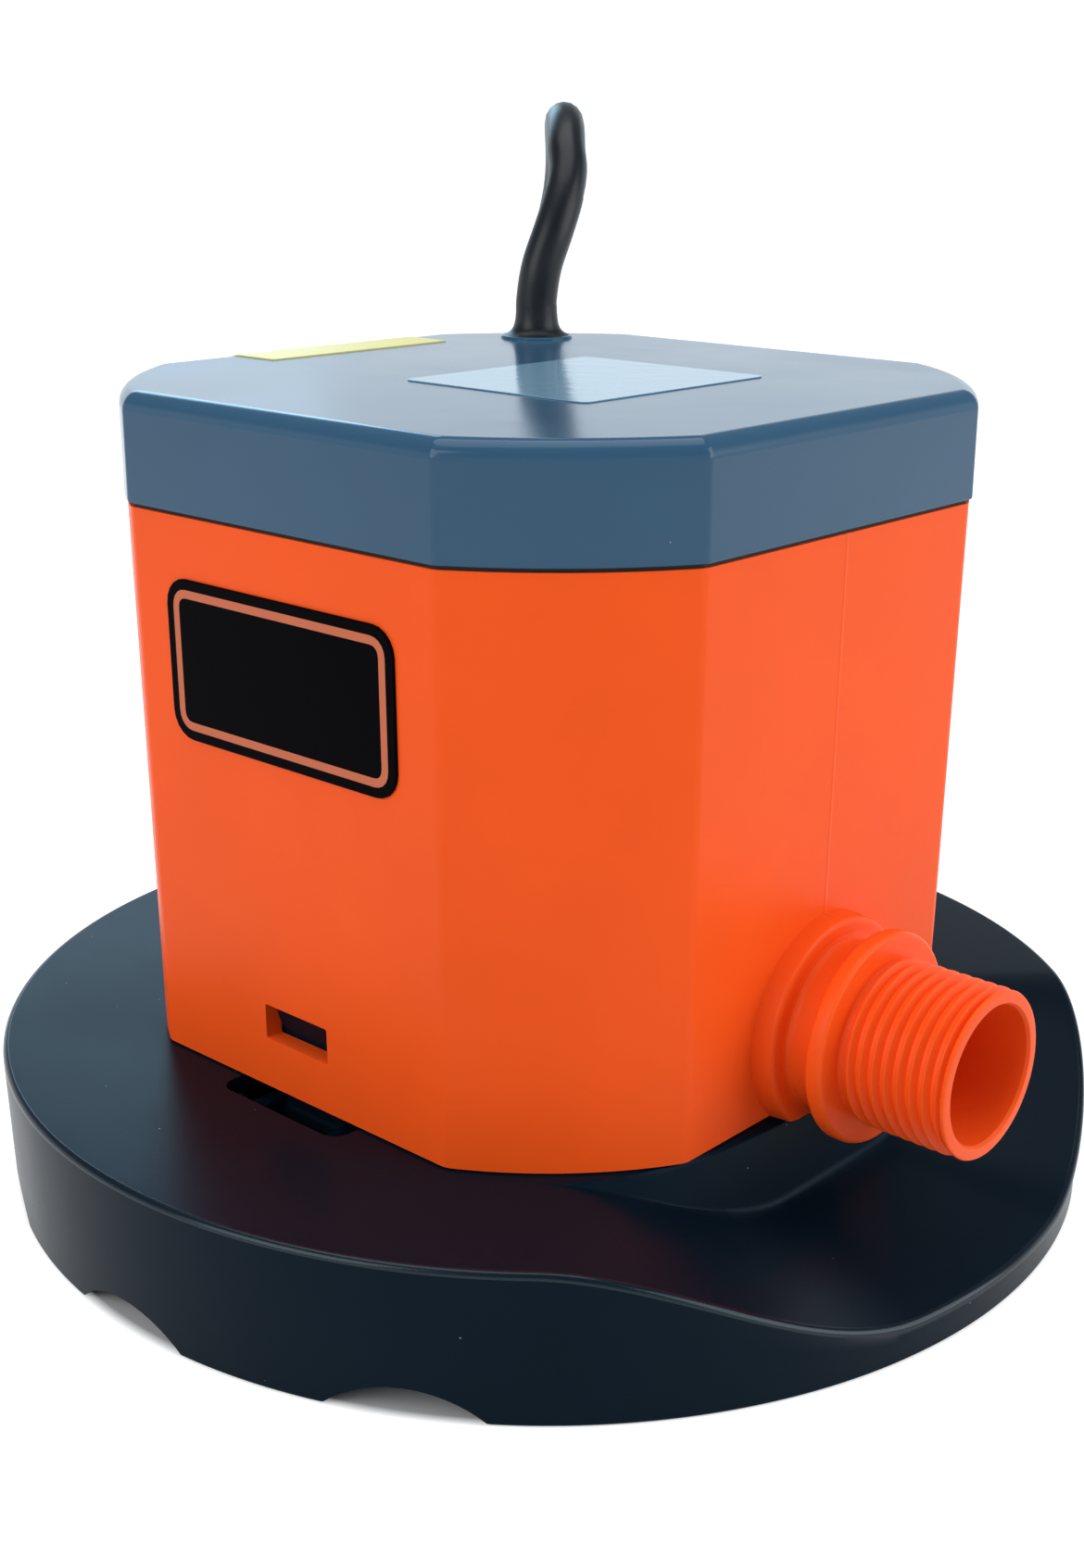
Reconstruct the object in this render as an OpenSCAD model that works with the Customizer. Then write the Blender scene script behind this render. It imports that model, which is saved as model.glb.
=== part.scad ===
// Low-intake submersible pump: a drafted square housing with round corners, a screwed-down cap,
// a threaded outlet low on one side, and a wide round strainer base that unclips from below.
// Millimetres. +Z is up, the outlet points along +X, and the floor under the base is z = 0.

/* [Housing] */
// Width across the flat sides at the top
body_w = 120; // [116:0.5:126]
// Width across the flat sides at the foot
body_foot_w = 117.5; // [115:0.5:119]
// Height of the housing from its foot to the cap joint
body_h = 91.7; // [86:0.1:120]
// Radius of the round corners at the top, from the pump's axis
corner_r = 68.8; // [67.6:0.1:72]
// Radius of the round corners at the foot, from the pump's axis
corner_foot_r = 67.4; // [66.4:0.1:67.6]
// Thickness of the moulded walls
wall = 3; // [2.4:0.1:3.4]

/* [Cap] */
// Height of the cap above its joint
cap_h = 17.3; // [14:0.1:24]
// How far the cap stands out past the housing on each side
cap_lip = 0.5; // [0:0.1:1.5]
// Radius of the cap's top edge
cap_edge_r = 3; // [1:0.25:4]
// Gap that the seal fills between cap and housing
seal_t = 0.6; // [0.4:0.1:1.2]

/* [Outlet] */
// Height of the outlet's axis above the housing's foot
outlet_up = 13.2; // [12.8:0.1:16]
// Radius of the outlet's bore
bore_r = 11.1; // [9:0.1:11.6]
// Outer radius of the 3/4 inch garden hose thread
thread_r = 13.5; // [13.2:0.05:13.6]
// Distance between thread turns, 11.5 to the inch
thread_pitch = 2.209; // [2.1:0.001:2.3]
// Number of thread turns
thread_n = 8; // [6:1:8]
// Depth of the thread
thread_depth = 1.16; // [0.9:0.02:1.2]
// Distance of the outlet's mouth from the pump's axis
outlet_reach = 90.6; // [90:0.1:98]
// Radius of the flange behind the thread
flange_r = 17.2; // [16.5:0.1:17.6]
// Thickness of the flange
flange_t = 3.1; // [2:0.1:4]
// Radius of the neck between wall and flange
neck_r = 13.9; // [13.7:0.1:14.2]
// Radius of the boss on the wall
boss_r = 17.8; // [16.5:0.1:18]
// How far the boss stands out from the wall's foot
boss_t = 4; // [1.2:0.1:4.5]

/* [Base] */
// Radius of the base at its top edge
base_r = 95.1; // [92:0.1:105]
// How much smaller the base is at the floor
base_draft = 0.8; // [0:0.1:1.5]
// Height of the base
base_h = 25.1; // [24:0.1:28]
// Thickness of the base's moulded walls
base_wall = 3; // [2.2:0.1:3.2]
// Radius of the base's top edge
base_edge_r = 1.8; // [0.6:0.1:2.4]
// Gap between the base and the housing's foot
seat_gap = 0.3; // [0.2:0.05:0.6]
// Depth of the trough under the outlet, at the base's rim
trough_rim = 18.5; // [8:0.1:18.8]
// Depth of the trough under the outlet, at the housing
trough_hub = 13.5; // [8:0.1:14.5]
// Half angle of the trough's level floor
trough_flat = 11; // [4:0.5:16]
// Half angle at which the trough has risen to the base's top
trough_side = 49; // [40:0.5:52]
// How far the raised hub stands out past the housing's foot
hub_margin = 3; // [2.6:0.1:4]
// How much further out the hub's foot stands, at the trough's floor
hub_spread = 1.6; // [0:0.1:2.5]
// Height of the water inlets under the rim
inlet_h = 5; // [3:0.1:6]
// Width of a water inlet at the floor
inlet_w = 25; // [16:0.5:30]

/* [Strainer] */
// Thickness of the strainer
strainer_t = 2.4; // [1.8:0.1:3]
// Width of its slots
slot_w = 2.4; // [1.6:0.1:3]

/* [Catches] */
// Width of a catch
catch_w = 14; // [10:0.2:14]
// Thickness of a catch's arm
catch_t = 2.3; // [1.8:0.1:2.5]
// Running clearance beside a catch and round its trunnions
catch_gap = 0.35; // [0.3:0.05:0.45]
// Height of a window above the housing's foot
window_up = 8.6; // [8:0.1:9.5]
// Height of a window
window_h = 6; // [5.2:0.1:7]
// Radius of a catch's trunnions
trunnion_r = 1.2; // [1:0.05:1.4]

/* [Pump] */
// Inner radius of the pump chamber
chamber_r = 39; // [37:0.1:39.6]
// Radius of the impeller
impeller_r = 33.5; // [30:0.1:35.5]
// Number of impeller vanes
vane_n = 6; // [4:1:8]
// Radius of the inlet eye
eye_r = 13; // [11:0.1:16]
// Thickness of the chamber cover
cover_t = 4; // [3.6:0.1:5]

/* [Motor] */
// Radius of the stator
stator_r = 40; // [38:0.1:40.8]
// Height of the stator
stator_h = 26; // [20:0.1:26]
// Radius of the rotor
rotor_r = 20.2; // [17:0.1:20.6]
// Number of stator slots
stator_slots = 12; // [8:1:14]
// Radius of the motor shaft
shaft_r = 4; // [3:0.05:4.4]
// Radius of the capacitor
capacitor_r = 9; // [7:0.1:10]
// Length of the capacitor
capacitor_l = 40; // [28:0.5:44]

/* [Screws] */
// Radius of the cap screws and motor bolts
screw_r = 1.9; // [1.6:0.05:2]
// Radius of the small screws
small_screw_r = 1.4; // [1.2:0.05:1.45]

/* [Cord] */
// Diameter of the power cord
cord_d = 7.4; // [6.5:0.1:7.5]
// Mean radius of the coil's turns
coil_r = 44; // [42:0.1:46]
// Turns in each layer of the coil
coil_turns = 6; // [5:1:6]
// Gap between neighbouring turns
turn_gap = 0.5; // [0.45:0.05:1]

/* [Hidden] */

$fn = 96;
eps = 0.01;
big = 400;

// Clearances between pieces that fit together
slip = 0.03;
press = 0.02;
face_gap = 0.2;

// Levels, from the floor up
foot_z = base_h + seat_gap;
joint_z = foot_z + body_h;
cap_z = joint_z + seal_t;
top_z = joint_z + cap_h + seal_t;
outlet_z = foot_z + outlet_up;
chamber_z = outlet_z - bore_r - 1.2;
chamber_top = outlet_z + bore_r + 1.8;
deck_t = 3;
deck_z = chamber_top + deck_t;
roof_z = top_z - wall;
plate_z = base_h - base_wall;

lean = atan((body_w - body_foot_w) / 2 / body_h);
corner_lean = atan((corner_r - corner_foot_r) / body_h);
inner_y = body_foot_w / 2 - wall;

function half_w(z) = body_foot_w / 2 + (z - foot_z) * tan(lean);
function corner(z) = corner_foot_r + (z - foot_z) * tan(corner_lean);

// A block with the housing's draft and round corners, from z0 to z1, drawn in by inset
module block(z0, z1, inset = 0) {
    difference() {
        translate([0, 0, z0])
            cylinder(r1 = corner(z0) - inset, r2 = corner(z1) - inset, h = z1 - z0, $fn = 180);
        for (a = [0:90:270])
            rotate(a)
                translate([half_w(z0) - inset, 0, z0])
                    rotate([0, lean, 0])
                        translate([0, -big / 2, -big / 2])
                            cube(big);
    }
}

module ring(outer, inner, h) {
    difference() {
        cylinder(r = outer, h = h);
        translate([0, 0, -1])
            cylinder(r = inner, h = h + 2);
    }
}

module hex(r, h) {
    cylinder(r = r, h = h, $fn = 6);
}

// Four copies at the mirrored corners (x, y)
module at_corners(x, y) {
    for (sx = [-1, 1], sy = [-1, 1])
        translate([sx * x, sy * y, 0])
            children();
}

// Copies on a circle
module around(n, r, start = 0) {
    for (i = [0:n - 1])
        rotate(start + 360 * i / n)
            translate([r, 0, 0])
                children();
}

// A plate on the housing's front wall: width, height, thickness, height of its centre
module on_front(w, h, t, z) {
    translate([0, -body_foot_w / 2, foot_z])
        rotate([lean, 0, 0])
            translate([-w / 2, -t, z - foot_z - h / 2])
                cube([w, t, h]);
}

// ---- Outlet -------------------------------------------------------------------------------

wall_x = body_foot_w / 2;
neck_x = wall_x + boss_t;
boss_in = wall_x - wall / 2;
edge = 0.6;
relief_len = 0.6;
lip_len = 0.93;
lip_edge = 0.3;
thread_x = outlet_reach - lip_len - thread_n * thread_pitch;
flange_end = thread_x - relief_len;
flange_x = flange_end - flange_t;
root_r = thread_r - thread_depth;
lip_r = thread_r - 0.1;

// One thread turn: root, flank, crest, flank
function thread_turn(x) = [[root_r, x + thread_pitch * 0.14], [thread_r, x + thread_pitch * 0.42],
                           [thread_r, x + thread_pitch * 0.58], [root_r, x + thread_pitch * 0.86]];

outlet_profile = concat(
    [[0, neck_x - eps], [neck_r, neck_x - eps], [neck_r, flange_x - edge],
     [neck_r + edge, flange_x], [flange_r - edge, flange_x], [flange_r, flange_x + edge],
     [flange_r, flange_end - edge], [flange_r - edge, flange_end], [root_r + relief_len, flange_end],
     [root_r, thread_x]],
    [for (i = [0:thread_n - 1]) each thread_turn(thread_x + i * thread_pitch)],
    [[lip_r, outlet_reach - 2 * lip_edge], [lip_r, outlet_reach - lip_edge],
     [lip_r - lip_edge, outlet_reach], [0, outlet_reach]]);

boss_profile = [[0, boss_in], [boss_r, boss_in], [boss_r, neck_x - edge / 2],
                [boss_r - edge / 2, neck_x], [0, neck_x]];

module along_outlet() {
    translate([0, 0, outlet_z])
        rotate([0, 90, 0])
            children();
}

// ---- Places shared by several pieces ------------------------------------------------------

pillar_r = 6;
pillar_sunk = 2.25;
pillar_turn = 24.8;
corner_least = min(corner_r, corner_foot_r) - wall;
pillar_ring = corner_least - pillar_r - 1.1;
pillar_at = [min(inner_y - pillar_r + pillar_sunk, pillar_ring * cos(pillar_turn)),
             pillar_ring * sin(pillar_turn)];
screw_web_z = joint_z - 23;
screw_head_h = 3.5;
cap_boss_z = joint_z - 17;
cap_boss_r = 4.6;

chamber_wall = 3;
cover_r = chamber_r + 8.5;
cover_screw_at = cover_r - 3;
cover_screw_n = 4;
cover_head_h = 1.9;
cover_head_r = 2.5;

hub_top = deck_z + 8.5;
bush_r = 7;
seat_r = 9.5;
seal_r = 8.5;

stator_z = deck_z + 9.5;
stator_top = stator_z + stator_h;
bolt_at = stator_r - 3.5;
bolt_boss_r = 3.4;
bracket_z = stator_top + 9;
bracket_t = 3;
bracket_boss = 3;
bracket_boss_h = 11;
bracket_drop = 4;
lower_winding_h = 6.5;
upper_winding_h = 6;
earth_at = [25, -10];
winding_in = rotor_r + 2.4;
winding_out = bolt_at - bolt_boss_r - 0.7;

capacitor_lift = 1.5;
capacitor_at = [0, -bush_r - bracket_boss - capacitor_r - 1,
                bracket_z + bracket_t + capacitor_lift + capacitor_r];
tag_l = 6;
saddle_h = 4;
saddle_w = 12;

gland_r = 4.6;
gland_foot_r = 6.75;
gland_h = 3;
gland_at = [-(corner_r - 10.5) * sqrt(0.5), (corner_r - 10.1) * sqrt(0.5)];
gland_nut_h = 3.2;
gland_shank_z = roof_z - 5;

hole_r = cover_r + 0.6;
collar_r = hole_r + 2.9;
collar_h = 4.8;
hub_x = wall_x + hub_margin;
neck_room = 0.6;
hub_r = corner_foot_r + hub_margin;
strainer_r = hub_edge(0, base_wall) - 0.7;
strainer_z = plate_z - collar_h - strainer_t;
strainer_screw_at = strainer_r - 3.3;
strainer_boss_r = 3.1;
slot_n = 14;
slot_at = 11;
slot_l = 13;
slot_bar = 3.5;
strainer_head_h = 1.7;

arm_y = inner_y - catch_gap;
pivot_y = arm_y - catch_t / 2;
pivot_z = plate_z - 2.3;
catch_top = foot_z + window_up + window_h - 0.4;
hook_z = foot_z + window_up + 1;
hook_slope = 0.33;
barrel_r = trunnion_r + 0.7;
ear_t = 3;
ear_x = catch_w / 2 + 0.3;
scoop_w = 28;
scoop_out = wall_x + 5;
scoop_in = arm_y - catch_t - 2.1;

// ---- Base -----------------------------------------------------------------------------------

// Share of the trough's full depth at an angle from the outlet
function trough_share(a) =
    let (t = min(1, max(0, (abs(a) - trough_flat) / (trough_side - trough_flat))))
    1 - t * t * (3 - 2 * t);

// Distance from the pump's axis to the hub's edge: straight towards the outlet, round at the corners
function hub_edge(a, grow) =
    let (n = 12, flat = (hub_x - grow) / cos(a), round = hub_r - grow)
    pow(pow(flat, -n) + pow(round, -n), -1 / n);

function trough_depth(a, r) =
    trough_share(a) * (trough_hub + (trough_rim - trough_hub) * (r - hub_x) / (base_r - hub_x));

trough_steps = 28;

// The room above the trough's floor, lowered by drop and grown in towards the hub by drop.
// The hub's side leans out towards its foot.
module above_trough(drop) {
    angles = [for (i = [0:trough_steps]) trough_side * (2 * i / trough_steps - 1)];
    radius = [for (a = angles) [hub_edge(a, drop), base_r + 2]];
    floor_pts = [for (i = [0:trough_steps], k = [0, 1])
        let (a = angles[i], r = radius[i][k] + (1 - k) * hub_spread * trough_share(a))
        [r * cos(a), r * sin(a), base_h - drop - trough_depth(a, r)]];
    roof_pts = [for (i = [0:trough_steps], k = [0, 1])
        let (a = angles[i], r = radius[i][k])
        [r * cos(a), r * sin(a), base_h + 1]];
    m = 2 * (trough_steps + 1);
    polyhedron(
        points = concat(floor_pts, roof_pts),
        faces = concat(
            [for (i = [0:trough_steps - 1])
                let (p = 2 * i)
                each [[p, p + 1, p + 2], [p + 1, p + 3, p + 2],
                      [p, p + 2, m + p], [p + 2, m + p + 2, m + p]]],
            [for (i = [0:trough_steps - 1])
                let (p = m + 2 * i)
                each [[p, p + 2, p + 1], [p + 1, p + 2, p + 3]]],
            [for (i = [0:trough_steps - 1])
                let (p = 2 * i + 1)
                each [[p, m + p, p + 2], [p + 2, m + p, m + p + 2]]],
            [[0, m, 1], [1, m, m + 1], [m - 2, m - 1, 2 * m - 2], [m - 1, 2 * m - 1, 2 * m - 2]]));
}

module base_shell() {
    difference() {
        rotate_extrude($fn = 180)
            polygon(concat([[0, 0], [base_r - base_draft, 0]],
                           [for (a = [0:22.5:90]) [base_r - base_edge_r * (1 - cos(a)),
                                                   base_h - base_edge_r * (1 - sin(a))]],
                           [[0, base_h]]));
        above_trough(0);
        difference() {
            translate([0, 0, -1])
                cylinder(r1 = base_r - base_draft - base_wall, r2 = base_r - base_wall, h = plate_z + 1,
                         $fn = 180);
            above_trough(base_wall);
        }
    }
}

// Arched water inlet through the rim at the floor
module inlet() {
    rotate([90, 0, 90])
        linear_extrude(base_r + 5)
            polygon([[-inlet_w / 2, -1], [-inlet_w / 2, 0], [-inlet_w / 2 + 2, inlet_h * 0.7],
                     [-inlet_w / 2 + 4.5, inlet_h], [inlet_w / 2 - 4.5, inlet_h],
                     [inlet_w / 2 - 2, inlet_h * 0.7], [inlet_w / 2, 0], [inlet_w / 2, -1]]);
}

module catch_ear(side) {
    translate([side < 0 ? -ear_x - ear_t : ear_x, -scoop_out - 3.3, pivot_z - barrel_r - 0.4])
        cube([ear_t, scoop_out + 3.3 - hole_r - 0.9, plate_z - pivot_z + barrel_r + 0.4 + eps]);
}

module base_disc() {
    color("#19222e") {
        difference() {
            union() {
                base_shell();
                translate([0, 0, plate_z - collar_h])
                    cylinder(r = collar_r, h = collar_h + eps);
                around(4, strainer_screw_at, 45)
                    translate([0, 0, plate_z - collar_h])
                        cylinder(r = strainer_boss_r, h = collar_h + eps);
                for (turn = [0, 180], side = [-1, 1])
                    rotate(turn)
                        catch_ear(side);
            }
            translate([0, 0, -1])
                cylinder(r = hole_r, h = base_h + 2);
            around(4, strainer_screw_at, 45)
                translate([0, 0, plate_z - collar_h - 1])
                    cylinder(r = small_screw_r + slip, h = collar_h - 0.5);
            for (turn = [0, 180])
                rotate(turn) {
                    translate([-scoop_w / 2, -scoop_out, plate_z])
                        cube([scoop_w, scoop_out - scoop_in, base_wall + 1]);
                    translate([-ear_x + eps, -scoop_out, pivot_z - barrel_r - 1])
                        cube([2 * ear_x - 2 * eps, scoop_out - scoop_in, base_h]);
                    translate([0, -pivot_y, pivot_z])
                        rotate([0, 90, 0])
                            cylinder(r = trunnion_r + 0.05, h = 2 * ear_x + 2 * ear_t + 2, center = true);
                }
            along_outlet()
                translate([0, 0, neck_x - neck_room])
                    cylinder(r = neck_r + neck_room, h = 12);
            for (a = [60, 90, 120, 150, 180, 210, 240, 270, 300])
                rotate(a)
                    translate([base_r - base_wall - 8, 0, 0])
                        inlet();
        }
    }
}

// Flat disc with two rings of radial slots, screwed under the base's collar
module strainer() {
    color("#2b3138")
        difference() {
            translate([0, 0, strainer_z])
                cylinder(r = strainer_r, h = strainer_t);
            around(slot_n, slot_at)
                translate([0, -slot_w / 2, strainer_z - 1])
                    cube([slot_l, slot_w, strainer_t + 2]);
            around(2 * slot_n, slot_at + slot_l + slot_bar, 90 / slot_n)
                translate([0, -slot_w / 2, strainer_z - 1])
                    cube([slot_l + slot_bar, slot_w, strainer_t + 2]);
            around(4, strainer_screw_at, 45)
                translate([0, 0, strainer_z - 1])
                    cylinder(r = small_screw_r + 0.2, h = strainer_t + 2);
        }
}

module strainer_screws() {
    color("#b8bcc0")
        around(4, strainer_screw_at, 45) {
            translate([0, 0, strainer_z - strainer_head_h])
                cylinder(r = small_screw_r * 1.9, h = strainer_head_h);
            translate([0, 0, strainer_z - eps])
                cylinder(r = small_screw_r, h = strainer_t + collar_h - 2);
        }
}

// Sprung arm with a hook whose underside is ramped, so that a firm pull lifts the pump off it
module catch_arm() {
    hook = [for (z = [hook_z, catch_top - 0.5]) [-inner_y + 0.05 - hook_slope * (z - hook_z), z]];
    translate([-catch_w / 2, 0, 0])
        rotate([90, 0, 90])
            linear_extrude(catch_w)
                polygon([[-arm_y, pivot_z], [-arm_y, hook_z], hook[0], hook[1], [hook[1][0] + 0.4, catch_top],
                         [-arm_y + catch_t, catch_top], [-arm_y + catch_t, pivot_z]]);
    translate([0, -pivot_y, pivot_z])
        rotate([0, 90, 0]) {
            cylinder(r = barrel_r, h = catch_w, center = true);
            cylinder(r = trunnion_r, h = 2 * (ear_x + ear_t) - 1, center = true);
        }
}

module catch_front() {
    color("#1d2733")
        catch_arm();
}

module catch_rear() {
    color("#1d2733")
        rotate(180)
            catch_arm();
}

// ---- Power cord -----------------------------------------------------------------------------

cord_r = cord_d / 2;
tie_t = 1.2;
tie_w = 12;
tie_angle = 15;
tie_slack = 0.8;
coil_pitch = cord_d + turn_gap;
coil_z = cord_r + tie_t + 0.1;
coil_out = coil_r + coil_turns * coil_pitch / 2;
layer_n = 4;
loop_rings = 24;

// The coil lies behind the pump, close to the base; the cord comes to it at run_angle
coil_bearing = 32.5;
coil_away = base_r + coil_out + cord_r + 1.5;
coil_at = [-coil_away * sin(coil_bearing), coil_away * cos(coil_bearing)];
run_angle = 240;
coil_end = layer_n * coil_turns - 1 + (run_angle - 180) / 360;

function unit(v) = v / norm(v);

function heading(p, i) =
    i == 0 ? unit(p[1] - p[0])
    : i == len(p) - 1 ? unit(p[i] - p[i - 1])
    : unit(unit(p[i + 1] - p[i]) + unit(p[i] - p[i - 1]));

function ring_points(c, t, side, r, n) =
    let (a = unit(side - (side * t) * t), b = cross(t, a))
    [for (k = [0:n - 1]) c + r * (a * cos(360 * k / n) + b * sin(360 * k / n))];

// A closed tube of n flat sides round a path
module tube(path, side, r, n) {
    last = len(path) - 1;
    polyhedron(
        points = [for (i = [0:last]) each ring_points(path[i], heading(path, i), side, r, n)],
        faces = concat(
            [for (i = [0:last - 1], k = [0:n - 1])
                let (p = i * n + k, q = i * n + (k + 1) % n)
                each [[p, p + n, q], [q, p + n, q + n]]],
            [for (k = [1:n - 2]) [0, k, k + 1]],
            [for (k = [1:n - 2]) [last * n, last * n + k + 1, last * n + k]]));
}

function path_length(p) = len(p) < 2 ? 0 : norm(p[1] - p[0]) + path_length([for (i = [1:len(p) - 1]) p[i]]);

run_heading = [sin(run_angle), -cos(run_angle)];
coil_start = coil_at + coil_out * [cos(run_angle), sin(run_angle)];

// A point that far short of the coil's first turn, at height z
function before_coil(short, z) = let (p = coil_start - short * run_heading) [p[0], p[1], z];

// Where the cord starts on its way down behind the pump
drop_at = [-83, 86];

// A point on the way down, at height z, which has swung over by that share towards the coil's run
function drop_point(z, share) =
    let (p = drop_at * (1 - share) + (coil_start - 45 * run_heading) * share) [p[0], p[1], z];

// From the gland up, over in an arch, and part of the way down behind the pump
lead_route = [[gland_at[0], gland_at[1], top_z + gland_h], [gland_at[0], gland_at[1], top_z + gland_h + 4],
              [-40.6, 42.3, 148.2], [-39.9, 44.7, 154.5], [-40.5, 48, 160], [-42.8, 51.9, 165],
              [-46.2, 55.2, 169], [-50, 59.3, 172], [-54, 63.5, 173.6], [-58.4, 68, 174],
              [-62.4, 72.2, 173.4], [-66.2, 76.4, 171.6], [-69.6, 80.3, 168.7], [-72.8, 83.8, 164.7],
              [-75.8, 86.4, 159.8], [-78.6, 87.7, 154], [-80.7, 87.8, 147.5], [-82, 87.1, 140],
              [-82.8, 86.4, 131], [-83, 86, 120],
              drop_point(110, 0.02), drop_point(100, 0.1), drop_point(90, 0.26)];

// Down to the floor, and along it to the coil
tail_route = [drop_point(90, 0.26), drop_point(80, 0.42), drop_point(70, 0.6), drop_point(60, 0.78),
              drop_point(50, 0.92), drop_point(40, 1), before_coil(44, 28), before_coil(41, 20.5),
              before_coil(36, 14), before_coil(29.5, 9.2), before_coil(22, 6.1),
              before_coil(2 * cord_d, coil_z), before_coil(cord_d, coil_z)];

// Steady climb from 0 to 1 over the half turn round t = 0
function climb(t) = let (s = min(1, max(0, 2 * t + 0.5))) s * s * (3 - 2 * s);

// Distance from the coil's axis after t turns: in and out again at a steady rate
function coil_radius(t) =
    let (layer = floor(t / coil_turns), part = t - layer * coil_turns)
    coil_out - coil_pitch * (layer % 2 == 0 ? part : coil_turns - part);

function coil_height(t) =
    coil_z + coil_pitch * (climb(t - coil_turns) + climb(t - 2 * coil_turns) + climb(t - 3 * coil_turns));

function coil_point(t) =
    let (a = run_angle - 360 * t)
    [coil_at[0] + coil_radius(t) * cos(a), coil_at[1] + coil_radius(t) * sin(a), coil_height(t)];

wound = [for (i = [0:loop_rings * coil_end]) coil_point(i / loop_rings)];
wound_top = wound[len(wound) - 1];
coil_route = concat([before_coil(cord_d, coil_z)], wound, [wound_top + [0, cord_d, 0]]);

// Least distance between two rings that are more than half a turn apart, less the cord
function least_gap(p) =
    min([for (i = [0:len(p) - 14]) min([for (j = [i + 13:min(len(p) - 1, i + 5 * loop_rings)])
        norm(p[i] - p[j])])]) - cord_d;

// From the top of the coil to the plug, which lies across the coil
plug_t = 24;
coil_top = coil_z + (layer_n - 1) * coil_pitch + cord_r;
plug_z = coil_top + face_gap + plug_t / 2;
plug_y = coil_at[1] + 44;
plug_x = coil_at[0] - 18;
end_start = wound_top + [0, cord_d, 0];
end_route = [end_start, end_start + [0, 3, 0], end_start + [0.5, 9, 0.5], end_start + [2.3, 15.4, 2.1],
             end_start + [5.7, 21.4, 4.5], end_start + [10.7, 26.8, 7.4], end_start + [16.9, 31.2, 10.4],
             end_start + [23.9, 34.3, 13.1],
             [plug_x - 11.5, plug_y - 0.6, plug_z - 0.9], [plug_x - 6, plug_y, plug_z - 0.2],
             [plug_x - 3, plug_y, plug_z], [plug_x, plug_y, plug_z]];

cord_colour = "#15171a";

module power_cord_lead() {
    color(cord_colour)
        tube(lead_route, [0.74, 0.67, 0], cord_r, 12);
}

module power_cord_tail() {
    color(cord_colour)
        tube(tail_route, [0, -1, 0], cord_r, 12);
}

module power_cord_coil() {
    echo(least_gap_mm = least_gap(wound));
    echo(cord_length_mm = path_length(lead_route) + path_length(tail_route) + path_length(end_route)
                          + 2 * PI * coil_r * coil_end);
    color(cord_colour)
        tube(coil_route, [0, 0, 1], cord_r, 6);
}

module power_cord_end() {
    color(cord_colour)
        tube(end_route, [0, 0, 1], cord_r, 12);
}

plug_w = 30;
plug_l = 34;
relief_l = 16;
blade_gap = 12.7;

module plug_body() {
    color(cord_colour)
        translate([plug_x, plug_y, plug_z])
            rotate([0, 90, 0]) {
                cylinder(r1 = cord_r + 0.5, r2 = 8, h = relief_l);
                translate([0, 0, relief_l - eps])
                    linear_extrude(plug_l)
                        intersection() {
                            square([plug_t, plug_w], center = true);
                            circle(r = plug_w / 2 + 0.6);
                        }
            }
}

module plug_pins() {
    color("#c9a13b")
        translate([plug_x + relief_l + plug_l, plug_y, plug_z]) {
            for (s = [-1, 1])
                translate([0, 1, s * blade_gap / 2 - 0.75])
                    cube([17, 6.3, 1.5]);
            translate([0, -8, 0])
                rotate([0, 90, 0])
                    cylinder(r = 2.4, h = 19);
        }
}

// Corner-cut rectangle
function cut_box(w, h, c) =
    [[-w / 2 + c, -h / 2], [w / 2 - c, -h / 2], [w / 2, -h / 2 + c], [w / 2, h / 2 - c],
     [w / 2 - c, h / 2], [-w / 2 + c, h / 2], [-w / 2, h / 2 - c], [-w / 2, -h / 2 + c]];

module cord_tie() {
    pile_w = coil_turns * coil_pitch + cord_d + tie_slack;
    pile_h = coil_top - coil_z + cord_r + tie_slack / 4;
    color("#0d0e10")
        translate([coil_at[0], coil_at[1], tie_t + pile_h / 2])
            rotate(tie_angle)
                translate([coil_r, 0, 0])
                    rotate([90, 0, 0])
                        linear_extrude(tie_w, center = true)
                            difference() {
                                polygon(cut_box(pile_w + 2 * tie_t, pile_h + 2 * tie_t, tie_t));
                                polygon(cut_box(pile_w, pile_h, tie_t / 2));
                            }
}

// ---- Housing and cap ------------------------------------------------------------------------

module fittings() {
    translate([0, 0, chamber_z])
        ring(chamber_r + chamber_wall, chamber_r, chamber_top - chamber_z + eps);
    around(cover_screw_n, cover_screw_at, 45)
        translate([0, 0, chamber_z])
            cylinder(r = 3.1, h = chamber_top - chamber_z + eps);
    at_corners(pillar_at[0], pillar_at[1])
        translate([0, 0, foot_z])
            cylinder(r = pillar_r, h = cap_boss_z - foot_z);
    translate([0, 0, deck_z - eps])
        cylinder(r = bush_r + 4, h = hub_top - deck_z);
    around(4, bolt_at)
        translate([0, 0, deck_z - eps])
            cylinder(r = bolt_boss_r, h = stator_z - deck_z);
    intersection() {
        along_outlet()
            translate([0, 0, chamber_r + 1])
                cylinder(r = bore_r + 2.9, h = wall_x - chamber_r - 2);
        block(foot_z, joint_z, 1);
    }
}

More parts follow.
